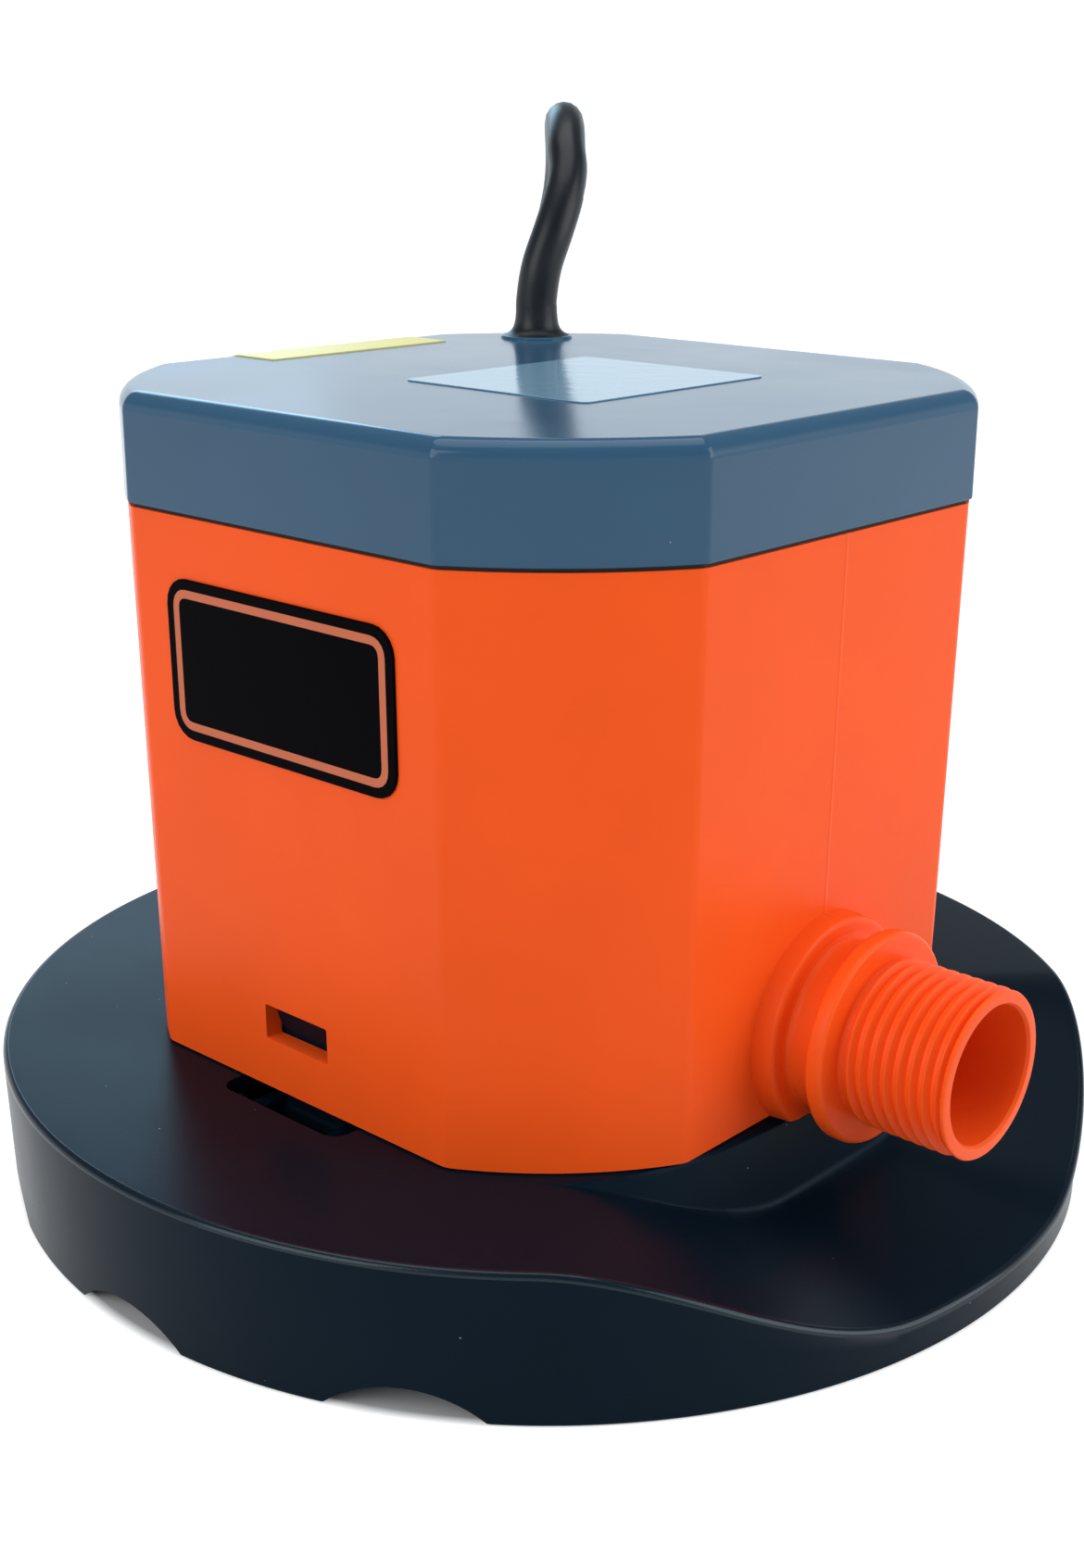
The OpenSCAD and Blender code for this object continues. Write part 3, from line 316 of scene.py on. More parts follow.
laid = node(dusty, "Mix", {0: faint.outputs[0], 6: given["Colour"], 7: given["Dust"]}, data_type="RGBA")
dusty.links.new(laid.outputs[2], out["Colour"])
dusty.links.new(faint.outputs[0], out["Mask"])


def group_node(tree, group, values):
    """Places a group in a material with its own values."""
    new = tree.nodes.new("ShaderNodeGroup")
    new.node_tree = group
    for name, value in values.items():
        if isinstance(value, bpy.types.NodeSocket):
            tree.links.new(value, new.inputs[name])
        else:
            new.inputs[name].default_value = value
    return new.outputs


def plastic(name, colour, roughness, gloss=0.3, tint=(1, 1, 1), drift=0.06, grain=0.00001,
            grain_scale=2500, dust=0.0, dust_scale=400):
    """A moulded plastic or rubber finish. The grain's depth is in metres."""
    material = bpy.data.materials.new(name)
    material.use_nodes = True
    tree = material.node_tree
    shader = tree.nodes["Principled BSDF"]
    shader.inputs["Specular IOR Level"].default_value = gloss
    shader.inputs["Specular Tint"].default_value = (*tint, 1)
    skin = group_node(tree, moulded, {"Colour": (*colour, 1), "Drift": drift, "Roughness": roughness,
                                      "Grain Scale": grain_scale})
    colour_out = skin["Colour"]
    if dust:
        specks = group_node(tree, dusty, {"Colour": colour_out, "Amount": dust, "Scale": dust_scale})
        colour_out = specks["Colour"]
    tree.links.new(colour_out, shader.inputs["Base Color"])
    tree.links.new(skin["Roughness"], shader.inputs["Roughness"])
    bump = node(tree, "Bump", {"Height": skin["Height"], "Distance": grain, "Strength": 1})
    tree.links.new(bump.outputs[0], shader.inputs["Normal"])
    return material


cord_skin = plastic("cord_pvc", (0.004, 0.006, 0.009), 0.34, gloss=0.25, drift=0.12, dust=0.02)
power_cord = tube("power_cord", cord_path, [cord_d / 2 * mm] * len(cord_path), 16)
power_cord.data.materials.append(cord_skin)
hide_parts("power_cord_lead", "power_cord_tail", "power_cord_coil", "power_cord_end")
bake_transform(power_cord)


# ---- Cord plug --------------------------------------------------------------------------------
# A three-pin mains plug moulded onto the cord in black PVC, with a ribbed neck and hollowed grips.
# Its two flat blades and its round earth pin are brass, and were set in the mould.

def piece(name):
    """Names the shape that was just added, and puts its place into its mesh."""
    obj = bpy.context.object
    obj.name = name
    obj.data.name = name
    bpy.ops.object.transform_apply(location=True, rotation=True, scale=True)
    return obj


def pick(obj, kind, test):
    """In edit mode, selects only the vertices, edges or faces that pass the test."""
    only(obj)
    bpy.ops.object.mode_set(mode="EDIT")
    bpy.ops.mesh.select_mode(type=kind)
    bpy.ops.mesh.select_all(action="DESELECT")
    shape = bmesh.from_edit_mesh(obj.data)
    for part in {"VERT": shape.verts, "EDGE": shape.edges, "FACE": shape.faces}[kind]:
        if test(part):
            part.select_set(True)
    bmesh.update_edit_mesh(obj.data)


def bevel(width, segments):
    """In edit mode, rounds the edges that are selected."""
    bpy.ops.mesh.bevel(offset=width * mm, segments=segments, affect="EDGES", clamp_overlap=True)


def modify(obj, kind, **settings):
    """Adds a modifier and applies it."""
    only(obj)
    modifier = obj.modifiers.new(kind.lower(), kind)
    for name, value in settings.items():
        setattr(modifier, name, value)
    bpy.ops.object.modifier_apply(modifier=modifier.name)


def carve(obj, cutter):
    """Cuts one shape out of another, and does away with the cutter."""
    modify(obj, "BOOLEAN", object=cutter, operation="DIFFERENCE", solver="MANIFOLD")
    obj.data.materials.clear()
    bpy.data.objects.remove(cutter)


def rounded(obj, width, segments=3, angle=30):
    """Rounds every edge that is sharper than the angle."""
    modify(obj, "BEVEL", width=width * mm, segments=segments, limit_method="ANGLE",
           angle_limit=radians(angle))


def cut_off(obj, place, normal):
    """Cuts off what lies past a plane, and closes the cut."""
    only(obj)
    bpy.ops.object.mode_set(mode="EDIT")
    bpy.ops.mesh.select_all(action="SELECT")
    bpy.ops.mesh.bisect(plane_co=Vector(place) * mm, plane_no=normal, use_fill=True, clear_outer=True)
    bpy.ops.object.mode_set(mode="OBJECT")


def join(name, *objects):
    """Makes one piece of several shapes."""
    only(*objects)
    if len(objects) > 1:
        bpy.ops.object.join()
    obj = bpy.context.object
    obj.name = name
    obj.data.name = name
    return obj


def smooth(obj, angle=32):
    """Shades the rounded edges smooth and keeps the flat faces between them flat."""
    only(obj)
    bpy.ops.object.shade_smooth_by_angle(angle=radians(angle))
    modify(obj, "WEIGHTED_NORMAL", keep_sharp=True)


def draw_line(name, profile, y=0):
    """A line through (x, z) pairs in millimetres, all selected in edit mode."""
    only()
    bpy.ops.mesh.primitive_circle_add(vertices=3, radius=mm)
    obj = piece(name)
    bpy.ops.object.mode_set(mode="EDIT")
    bpy.ops.mesh.select_mode(type="VERT")
    bpy.ops.mesh.select_all(action="SELECT")
    bpy.ops.mesh.merge(type="CENTER")
    x, z = profile[0]
    bpy.ops.transform.translate(value=(x * mm, y * mm, z * mm))
    for (x0, z0), (x1, z1) in zip(profile, profile[1:]):
        step = ((x1 - x0) * mm, 0, (z1 - z0) * mm)
        bpy.ops.mesh.extrude_vertices_move(TRANSFORM_OT_translate={"value": step})
    bpy.ops.mesh.select_all(action="SELECT")
    return obj


def lathe(name, profile, steps=96):
    """Turns a profile of (radius, height) pairs in millimetres about the Z axis."""
    obj = draw_line(name, profile)
    bpy.ops.mesh.spin(steps=steps, angle=2 * pi, center=(0, 0, 0), axis=(0, 0, 1))
    close_up()
    return obj


def set_down(obj, place, turn=None):
    """Turns a finished shape, moves it to its place, and puts both into its mesh."""
    obj.matrix_world = Matrix.Translation(Vector(place) * mm) @ (turn or Matrix.Identity(4))
    only(obj)
    bpy.ops.object.transform_apply(location=True, rotation=True, scale=True)


def box(name, low, high):
    """A cuboid to start from or to cut with, between two corners."""
    only()
    bpy.ops.mesh.primitive_cube_add(size=1, location=[(a + b) / 2 * mm for a, b in zip(low, high)],
                                    scale=[(b - a) * mm for a, b in zip(low, high)])
    return piece(name)


def rod(name, r, length, middle, sides, lying=True):
    """A cylinder to start from or to cut with, along X, or else upright."""
    only()
    bpy.ops.mesh.primitive_cylinder_add(vertices=sides, radius=r * mm, depth=length * mm,
                                        location=[v * mm for v in middle],
                                        rotation=(0, pi / 2 if lying else 0, 0))
    return piece(name)


along_x = Matrix.Rotation(pi / 2, 4, "Y")
relief_l, plug_l, plug_r = 16, 34, 15.6
half_t, half_w = 12, 15
neck_profile = [(3.72, -6), (4.3, -6), (4.5, -5.2)]
for k in range(5):
    s = -5 + 4.1 * k
    r = 4.5 + 0.17 * (s + 5)
    neck_profile += [(r, s), (r + 0.35, s + 2.6), (r - 0.7, s + 2.9), (r - 0.7, s + 3.7)]
neck_profile += [(8.3, 15.4), (9.2, relief_l + 0.4), (0, relief_l + 0.4), (0, -1), (3.72, -1),
                 (3.72, -6)]
neck = lathe("plug_neck", neck_profile, 48)
rounded(neck, 0.2, 2)
set_down(neck, plug_at, along_x)

plug = rod("plug_body", plug_r, plug_l, plug_at + Vector((relief_l + plug_l / 2, 0, 0)), 64)
for sign in (-1, 1):
    cut_off(plug, plug_at + Vector((0, 0, half_t * sign)), (0, 0, sign))
    cut_off(plug, plug_at + Vector((0, half_w * sign, 0)), (0, sign, 0))
back = (plug_at.x + relief_l) * mm
pick(plug, "FACE", lambda f: f.normal.x < -0.9)
bpy.ops.transform.resize(value=(1, 0.72, 0.78), center_override=(back, plug_at.y * mm, plug_at.z * mm))
pick(plug, "EDGE", lambda e: abs(e.calc_length() - plug_l * mm) < 0.012 and e.calc_face_angle(0) > 0.3)
bevel(2.2, 4)
pick(plug, "EDGE", lambda e: e.calc_face_angle(0) > 0.7)
bevel(1.4, 4)
pick(plug, "FACE", lambda f: abs(f.normal.z) > 0.9 and f.calc_area() > 2e-4)
bpy.ops.mesh.inset(thickness=4.5 * mm, use_individual=True)
bpy.ops.mesh.inset(thickness=0.8 * mm, depth=-0.9 * mm, use_individual=True)
bpy.ops.object.mode_set(mode="OBJECT")
grips = []
for sign in (-1, 1):
    for k in range(4):
        x = plug_at.x + 24 + 5 * k
        z = plug_at.z + sign * 10.6
        rib = box("grip", (x, plug_at.y - 7, z - 0.9), (x + 1.6, plug_at.y + 7, z + 0.9))
        rounded(rib, 0.5, 2)
        grips.append(rib)
plug = join("plug_body_moulded", plug, neck, *grips)
smooth(plug)
plug.data.materials.append(plastic("plug_pvc", (0.010, 0.011, 0.012), 0.42, grain=0.00002,
                                   grain_scale=1800, dust=0.04))
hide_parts("plug_body")
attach(plug, "base")

front = plug_at.x + relief_l + plug_l
blade_gap = 12.7
blades = []
for sign in (-1, 1):
    z = plug_at.z + sign * blade_gap / 2
    blade = box("blade", (front - 2, plug_at.y + 1, z - 0.75), (front + 17, plug_at.y + 7.3, z + 0.75))
    pick(blade, "EDGE", lambda e: all(v.co.x > (front + 16.9) * mm for v in e.verts)
         and abs(e.verts[0].co.y - e.verts[1].co.y) < 1e-5)
    bevel(1.6, 3)
    carve(blade, rod("blade_hole", 1.5, 6, (front + 13, plug_at.y + 4.15, z), 24, lying=False))
    rounded(blade, 0.2, 2)
    blades.append(blade)
earth = lathe("earth_pin", [(0, -2), (2.4, -2), (2.4, 16), (2.2, 17.3), (1.6, 18.4), (0.8, 18.9),
                            (0, 19)], 32)
set_down(earth, (front, plug_at.y - 8, plug_at.z), along_x)
pins = join("plug_blades", *blades, earth)
smooth(pins)


def metal(name, colour, roughness, depth=0.00001, scale=(900, 900, 60), drift=0.08):
    """Bare metal with fine marks, drawn out the way it was worked."""
    material = bpy.data.materials.new(name)
    material.use_nodes = True
    tree = material.node_tree
    shader = tree.nodes["Principled BSDF"]
    shader.inputs["Metallic"].default_value = 1
    spot = node(tree, "Mapping", {"Vector": node(tree, "TexCoord").outputs["Object"], "Scale": scale})
    marks = node(tree, "TexNoise", {"Vector": spot.outputs[0], "Scale": 1, "Detail": 4})
    skin = group_node(tree, moulded, {"Colour": (*colour, 1), "Drift": drift, "Roughness": roughness,
                                      "Grain Scale": 500})
    tree.links.new(skin["Colour"], shader.inputs["Base Color"])
    worn = node(tree, "MapRange", {"Value": marks.outputs["Fac"], "From Min": 0.3, "From Max": 0.7,
                                   "To Min": roughness - 0.08, "To Max": roughness + 0.1})
    tree.links.new(worn.outputs[0], shader.inputs["Roughness"])
    bump = node(tree, "Bump", {"Height": marks.outputs["Fac"], "Distance": depth, "Strength": 1})
    tree.links.new(bump.outputs[0], shader.inputs["Normal"])
    return material


brass = metal("plain_brass", (0.62, 0.41, 0.11), 0.28)
pins.data.materials.append(brass)
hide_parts("plug_pins")
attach(pins, "base")


# ---- Cord tie ---------------------------------------------------------------------------------
# A flat strap of black nylon that holds the coil's turns together. It runs once round the pile,
# through a moulded buckle on top, and its free tail lies flat beyond the buckle.

tie_t, tie_w = 1.2, 12
pile_w = coil_turns * coil_pitch + cord_d + 0.8
pile_h = 3 * coil_pitch + cord_d + 0.2
roof = pile_h + 2 * tie_t
strap = box("cord_tie_strap", (-pile_w / 2 - tie_t, -tie_w / 2, 0), (pile_w / 2 + tie_t, tie_w / 2, roof))
pick(strap, "FACE", lambda f: abs(f.normal.y) > 0.9)
bpy.ops.mesh.delete(type="FACE")
pick(strap, "EDGE", lambda e: abs(e.verts[0].co.y - e.verts[1].co.y) > 0.01)
bevel(3.4, 6)
bpy.ops.object.mode_set(mode="OBJECT")
modify(strap, "SOLIDIFY", thickness=tie_t * mm, offset=-1)
rounded(strap, 0.3, 2)
buckle = box("buckle", (-7, -tie_w / 2 - 1.6, roof - 0.6), (3, tie_w / 2 + 1.6, roof + 2.6))
pick(buckle, "FACE", lambda f: f.normal.z > 0.9)
bpy.ops.mesh.inset(thickness=1.8 * mm)
bpy.ops.mesh.extrude_region_move(TRANSFORM_OT_translate={"value": (0, 0, -1.2 * mm)})
bpy.ops.object.mode_set(mode="OBJECT")
rounded(buckle, 0.5, 3)
tail = box("strap_tail", (2, -tie_w / 2 + 0.4, roof), (19, tie_w / 2 - 0.4, roof + 1.0))
pick(tail, "EDGE", lambda e: abs(e.verts[0].co.z - e.verts[1].co.z) > 0.0005
     and e.verts[0].co.x > 0.015)
bevel(3, 4)
bpy.ops.object.mode_set(mode="OBJECT")
rounded(tail, 0.25, 2)
tie = join("cord_tie_moulded", strap, buckle, tail)
tie_turn = Matrix.Rotation(radians(15), 4, "Z")
set_down(tie, Vector((*coil_at, 0)) + tie_turn @ Vector((coil_middle, 0, 0)), tie_turn)
smooth(tie)
nylon = plastic("tie_nylon", (0.005, 0.005, 0.006), 0.5, grain=0.00004, grain_scale=900)
tie.data.materials.append(nylon)
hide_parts("cord_tie")
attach(tie, "base")


# ---- Cable gland ------------------------------------------------------------------------------
# A black rubber bush that seals the cord into the cap. Its foot flares out on the cap, and its
# sleeve tapers along the cord as a strain relief. A nut inside the cap holds it down.

gland_profile = [(0, 127), (4.6, 127), (4.6, 135), (6.4, 135), (6.4, 135.5), (6.1, 135.62), (5.5, 135.85),
                 (4.95, 136.25), (4.5, 136.8), (4.2, 137.6), (4.02, 138.6), (3.92, 139.8), (3.88, 141),
                 (3.72, 141), (3.72, 137), (0, 137)]
gland = lathe("gland_foot", gland_profile, 64)
set_down(gland, (cord_exit[0], cord_exit[1], 0))
sleeve_path = [p for p in cord_path[:60] if 139 * mm < p.z < 161 * mm and p.x > -0.043]
sleeve = tube("gland_sleeve", sleeve_path,
              [(3.9 - 0.14 * k / (len(sleeve_path) - 1)) * mm for k in range(len(sleeve_path))], 24)
gland = join("cable_gland_moulded", gland, sleeve)
smooth(gland, 40)
gland.data.materials.append(plastic("gland_rubber", (0.004, 0.006, 0.009), 0.38, gloss=0.25, dust=0.02))
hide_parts("cable_gland")
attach(gland, "pump")


# ---- Housing ----------------------------------------------------------------------------------
# The pump's square body, injection moulded in orange plastic with a slight draft. Its four corners
# are arcs about the pump's axis, and a deck across it parts the motor from the pump chamber.

foot_z, joint_z = 25.4, 117.1
foot_half, top_half = 58.75, 60.0
corner_foot, corner_top = 67.4, 68.8
wall = 3.0
lean = atan((top_half - foot_half) / (joint_z - foot_z))
deck_low, deck_high, hollow_draft = 51.5, 54.5, 0.985
outlet_z = 38.6
bore_r = 11.1

only()
bpy.ops.mesh.primitive_cone_add(vertices=240, radius1=corner_foot * mm, radius2=corner_top * mm,
                                depth=(joint_z - foot_z) * mm,
                                location=(0, 0, (foot_z + joint_z) / 2 * mm))
housing = piece("housing_moulded")
for quarter in range(4):
    turn = Matrix.Rotation(quarter * pi / 2, 3, "Z")
    cut_off(housing, turn @ Vector((foot_half, 0, foot_z)), turn @ Vector((cos(lean), 0, -sin(lean))))
pick(housing, "FACE", lambda f: f.normal.z > 0.9)
bpy.ops.mesh.inset(thickness=wall * mm)
bpy.ops.mesh.extrude_region_move(TRANSFORM_OT_translate={"value": (0, 0, (deck_high - joint_z) * mm)})
bpy.ops.transform.resize(value=(hollow_draft, hollow_draft, 1), center_override=(0, 0, 0))
pick(housing, "FACE", lambda f: f.normal.z < -0.9 and f.calc_area() > 0.005)
bpy.ops.mesh.inset(thickness=wall * mm)
bpy.ops.mesh.extrude_region_move(TRANSFORM_OT_translate={"value": (0, 0, (deck_low - foot_z) * mm)})


def outside(edge):
    """True for an edge of the outer skin, not of the hollow behind it."""
    x, y = edge.verts[0].co.xy
    return any(f.normal.x * x + f.normal.y * y > 0.03 for f in edge.link_faces)


pick(housing, "EDGE", lambda e: e.calc_face_angle(0) > 0.3 and outside(e)
     and abs(e.verts[0].co.z - e.verts[1].co.z) > 0.08)
bevel(0.9, 3)
pick(housing, "EDGE", lambda e: e.calc_face_angle(0) > 1.2 and outside(e)
     and abs(e.verts[0].co.z - e.verts[1].co.z) < 1e-5)
bevel(0.45, 3)
bpy.ops.object.mode_set(mode="OBJECT")

window_w, window_low, window_high = 14.6, 34, 40
for sign in (-1, 1):
    near, far = sorted((sign * 52, sign * 66))
    window = box("window", (-window_w / 2, near, window_low), (window_w / 2, far, window_high))
    pick(window, "EDGE", lambda e: abs(e.verts[0].co.y - e.verts[1].co.y) > 0.01)
    bevel(0.35, 2)
    carve(housing, window)
pipe_hole_r = 13
carve(housing, rod("outlet_hole", pipe_hole_r, 14, (59, 0, outlet_z), 64))


# ---- Outlet -----------------------------------------------------------------------------------
# The threaded hose outlet, moulded in one with the housing: a boss on the wall, a neck, a flange
# that a hose coupling tightens against, and a 3/4 inch garden hose thread up to the mouth.

mouth = 90.6
thread_r, root_r = 13.5, 12.34
pitch, turns = 2.209, 8
thread_start = mouth - 0.93 - turns * pitch
flange_end, flange_x, neck_x = thread_start - 0.6, thread_start - 3.7, foot_half + 4
outlet_profile = [
    (bore_r, 36), (bore_r, mouth - 0.5), (bore_r + 0.35, mouth), (12.9, mouth), (13.25, mouth - 0.15),
    (13.38, mouth - 0.4), (13.3, mouth - 0.65), (12.7, mouth - 0.95), (root_r, mouth - 1.25),
    (root_r, thread_start + 0.3), (root_r + 0.12, thread_start - 0.15), (root_r + 0.4, flange_end + 0.15),
    (root_r + 0.9, flange_end), (16.4, flange_end), (16.8, flange_end - 0.12), (17.08, flange_end - 0.4),
    (17.2, flange_end - 0.8), (17.2, flange_x + 0.8), (17.08, flange_x + 0.4), (16.8, flange_x + 0.12),
    (16.4, flange_x), (14.8, flange_x), (14.3, flange_x - 0.1), (14, flange_x - 0.4),
    (13.9, flange_x - 0.9), (13.9, neck_x + 1.2), (14.05, neck_x + 0.6), (14.4, neck_x + 0.2),
    (15, neck_x), (15, neck_x - 0.05), (13.1, neck_x - 0.05), (13.1, 36), (bore_r, 36)]
outlet = lathe("outlet_pipe", outlet_profile, 128)
set_down(outlet, (0, 0, outlet_z), along_x)
boss_profile = [(13, 57), (17.95, 57), (17.8, 59.5), (17.55, neck_x - 0.8), (17.38, neck_x - 0.32),
                (17, neck_x - 0.08), (16.5, neck_x), (13, neck_x), (13, 57)]
boss = lathe("outlet_boss", boss_profile, 128)
set_down(boss, (0, 0, outlet_z), along_x)
cut_off(boss, (0, 0, foot_z), (0, 0, -1))

only()
bpy.ops.mesh.primitive_circle_add(vertices=8, radius=mm, rotation=(pi / 2, 0, 0))
thread = piece("outlet_thread")
section = [(root_r - 0.4, -0.05), (root_r, 0.14), (thread_r - 0.09, 0.4), (thread_r, 0.45),
           (thread_r, 0.55), (thread_r - 0.09, 0.6), (root_r, 0.86), (root_r - 0.4, 1.05)]
for vertex, (r, s) in zip(thread.data.vertices, section):
    vertex.co = (r * mm, 0, (thread_start + (s - 0.5) * pitch) * mm)
wind = turns + 0.3
modify(thread, "SCREW", axis="Z", angle=2 * pi * wind, screw_offset=wind * pitch * mm,
       steps=96 * turns, render_steps=96 * turns)
for vertex in thread.data.vertices:
    r = hypot(vertex.co.x, vertex.co.y)
    fade = min(1, max(0, (vertex.co.z / mm - thread_start + 0.2) / 0.9))
    fade *= min(1, max(0, (mouth - 0.9 - vertex.co.z / mm) / 0.8))
    low = (root_r - 0.4) * mm
    keep = (low + (r - low) * fade * (2 - fade)) / r
    vertex.co.x *= keep
    vertex.co.y *= keep
    vertex.co.z = min(vertex.co.z, (mouth - 0.7) * mm)
pick(thread, "EDGE", lambda e: e.is_boundary)
bpy.ops.mesh.fill()
bpy.ops.mesh.select_all(action="SELECT")
bpy.ops.mesh.normals_make_consistent(inside=False)
bpy.ops.object.mode_set(mode="OBJECT")
set_down(thread, (0, 0, outlet_z), along_x)

chamber_r, pillar_top, pillar_x, pillar_y = 39, 100.1, 51.95, 24


def rectangle(r0, z0, r1, z1):
    """A closed rectangular outline, to be turned into a ring."""
    return [(r0, z0), (r1, z0), (r1, z1), (r0, z1), (r0, z0)]


def copies(shape, places):
    """Puts a copy of a shape, with its own mesh, at each place, and does away with the shape."""
    made = []
    for place in places:
        copy = shape.copy()
        copy.data = shape.data.copy()
        bpy.context.collection.objects.link(copy)
        set_down(copy, place)
        made.append(copy)
    bpy.data.objects.remove(shape)
    return made


chamber = lathe("chamber_wall", rectangle(chamber_r, 26.3, chamber_r + wall, 52), 128)
carve(chamber, rod("chamber_hole", pipe_hole_r, 20, (40, 0, outlet_z), 64))
hub = lathe("bush_hub", [(7, 54), (11, 54), (11, 62.4), (10.6, 63), (7, 63), (7, 54)], 64)
pillar_spots = [(sx * pillar_x, sy * pillar_y, 0) for sx in (-1, 1) for sy in (-1, 1)]
pillars = copies(lathe("pillar", rectangle(2.1, foot_z + 1, 6, pillar_top), 40), pillar_spots)
housing = join("housing_moulded", housing, outlet, boss, thread, chamber, hub, *pillars)
smooth(housing, 30)

orange = plastic("housing_orange", (0.91, 0.094, 0.010), 0.4, gloss=0.12, drift=0.04, grain=0.000012,
                 grain_scale=2200)
tree = orange.node_tree
shader = tree.nodes["Principled BSDF"]
spot = node(tree, "SeparateXYZ", {0: node(tree, "TexCoord").outputs["Object"]})
off_line = node(tree, "Math", {0: spot.outputs["Y"]}, operation="ABSOLUTE")
near_line = node(tree, "MapRange", {"Value": off_line.outputs[0], "From Min": 0.0001,
                                    "From Max": 0.0004, "To Min": 1, "To Max": 0})
line_x, line_z = 0.058, 0.0558
on_wall = node(tree, "Math", {0: spot.outputs["X"], 1: line_x}, operation="GREATER_THAN")
above = node(tree, "Math", {0: spot.outputs["Z"], 1: line_z}, operation="GREATER_THAN")
line = node(tree, "Math", {0: near_line.outputs[0], 1: on_wall.outputs[0]}, operation="MULTIPLY")
line = node(tree, "Math", {0: line.outputs[0], 1: above.outputs[0]}, operation="MULTIPLY")
skin_bump = shader.inputs["Normal"].links[0].from_node
part_line = node(tree, "Bump", {"Height": line.outputs[0], "Distance": 0.00006, "Strength": 1,
                                "Normal": skin_bump.outputs[0]})
tree.links.new(part_line.outputs[0], shader.inputs["Normal"])
housing.data.materials.append(orange)
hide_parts("housing")
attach(housing, "pump")


# ---- Cap --------------------------------------------------------------------------------------
# The lid over the motor, moulded in slate blue plastic with a soft top edge. Four screws driven
# from below hold it on the housing, and a rubber seal lies in the joint.

cap_low, cap_top = 117.7, 135.0
cap_half, cap_corner = 60.5, 69.3
top_round, corner_round, foot_round = 3, 1.2, 0.4
cap = rod("top_cap_moulded", cap_corner, cap_top - cap_low, (0, 0, (cap_low + cap_top) / 2), 240,
          lying=False)
for quarter in range(4):
    turn = Matrix.Rotation(quarter * pi / 2, 3, "Z")
    cut_off(cap, turn @ Vector((cap_half, 0, 0)), turn @ Vector((1, 0, 0)))
pick(cap, "EDGE", lambda e: all(v.co.z > (cap_top - 0.01) * mm for v in e.verts))
bevel(top_round, 6)
pick(cap, "EDGE", lambda e: e.calc_face_angle(0) > 0.12
     and abs(e.verts[0].co.z - e.verts[1].co.z) > 0.0002)
bevel(corner_round, 3)
pick(cap, "EDGE", lambda e: all(v.co.z < (cap_low + 0.01) * mm for v in e.verts))
bevel(foot_round, 2)
pick(cap, "FACE", lambda f: f.normal.z < -0.9 and f.calc_area() > 0.005)
bpy.ops.mesh.inset(thickness=(wall - 0.4) * mm)
bpy.ops.mesh.extrude_region_move(TRANSFORM_OT_translate={"value": (0, 0, (cap_top - wall - cap_low) * mm)})
bpy.ops.object.mode_set(mode="OBJECT")
bosses = copies(lathe("cap_boss", rectangle(1.93, pillar_top, 4.6, 132.5), 32), pillar_spots)
gland_seat = lathe("gland_seat", [(4.6, 134.6), (6.75, 134.6), (6.75, 135.3), (6.62, 135.48), (6.4, 135.55),
                                  (4.6, 135.55), (4.6, 134.6)], 64)
set_down(gland_seat, (cord_exit[0], cord_exit[1], 0))
cap = join("top_cap_moulded", cap, gland_seat, *bosses)
smooth(cap, 30)
slate = plastic("cap_slate", (0.027, 0.082, 0.148), 0.16, gloss=0.22, drift=0.05, grain=0.000004,
                grain_scale=2600, dust=0.05)
cap.data.materials.append(slate)
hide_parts("top_cap")
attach(cap, "pump")


def dress(material, *names):
    """Gives a finish to pieces that come ready shaped."""
    for name in names:
        for slot in cad[name].material_slots:
            slot.material = material


black_rubber = plastic("seal_rubber", (0.006, 0.007, 0.008), 0.55)
dress(black_rubber, "cap_seal", "chamber_seal")


# ---- Labels and front plate -------------------------------------------------------------------
# Two printed films with nothing on them, a silver one on the cap and a yellow one folded over the
# cap's left edge, and a blank dark plate with round corners and a thin orange border line.

def film(name, low, high, corner, thick):
    """A thin sheet with round corners, lying flat."""
    obj = box(name, (*low, 0), (*high, thick))
    pick(obj, "EDGE", lambda e: abs(e.verts[0].co.z - e.verts[1].co.z) > 0.5 * thick * mm)
    bevel(corner, 5)
    bpy.ops.object.mode_set(mode="OBJECT")
    return obj


label_low, label_high, film_t = (-12.5, -21), (26.5, 23.4), 0.2
rating = film("rating_label_film", label_low, label_high, 1.5, film_t)
set_down(rating, (0, 0, cap_top))
rounded(rating, 0.05, 1)
smooth(rating)
rating.data.materials.append(plastic("label_silver", (0.16, 0.29, 0.40), 0.12, gloss=0.4, drift=0.03,
                                     grain=0.00003, grain_scale=250))
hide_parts("rating_label")
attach(rating, "pump")

fold = [(-48, 0)]
fold += [(top_round - cap_half - top_round * sin(radians(a)), top_round * cos(radians(a)) - top_round)
         for a in range(0, 91, 10)]
fold += [(-cap_half, -6.5)]
edge_from, edge_w = -18, 42
edge_film = draw_line("edge_label_film", [(x, cap_top + z) for x, z in fold], edge_from)
bpy.ops.mesh.extrude_edges_move(TRANSFORM_OT_translate={"value": (0, edge_w * mm, 0)})
bpy.ops.mesh.select_all(action="SELECT")
bpy.ops.mesh.normals_make_consistent(inside=False)
bpy.ops.object.mode_set(mode="OBJECT")
if edge_film.data.polygons[0].normal.z < 0:
    edge_film.data.flip_normals()
modify(edge_film, "SOLIDIFY", thickness=film_t * mm, offset=1)
smooth(edge_film)
edge_film.data.materials.append(plastic("label_yellow", (0.66, 0.60, 0.17), 0.35, drift=0.04,
                                        grain=0.000004))
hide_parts("edge_label")
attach(edge_film, "pump")

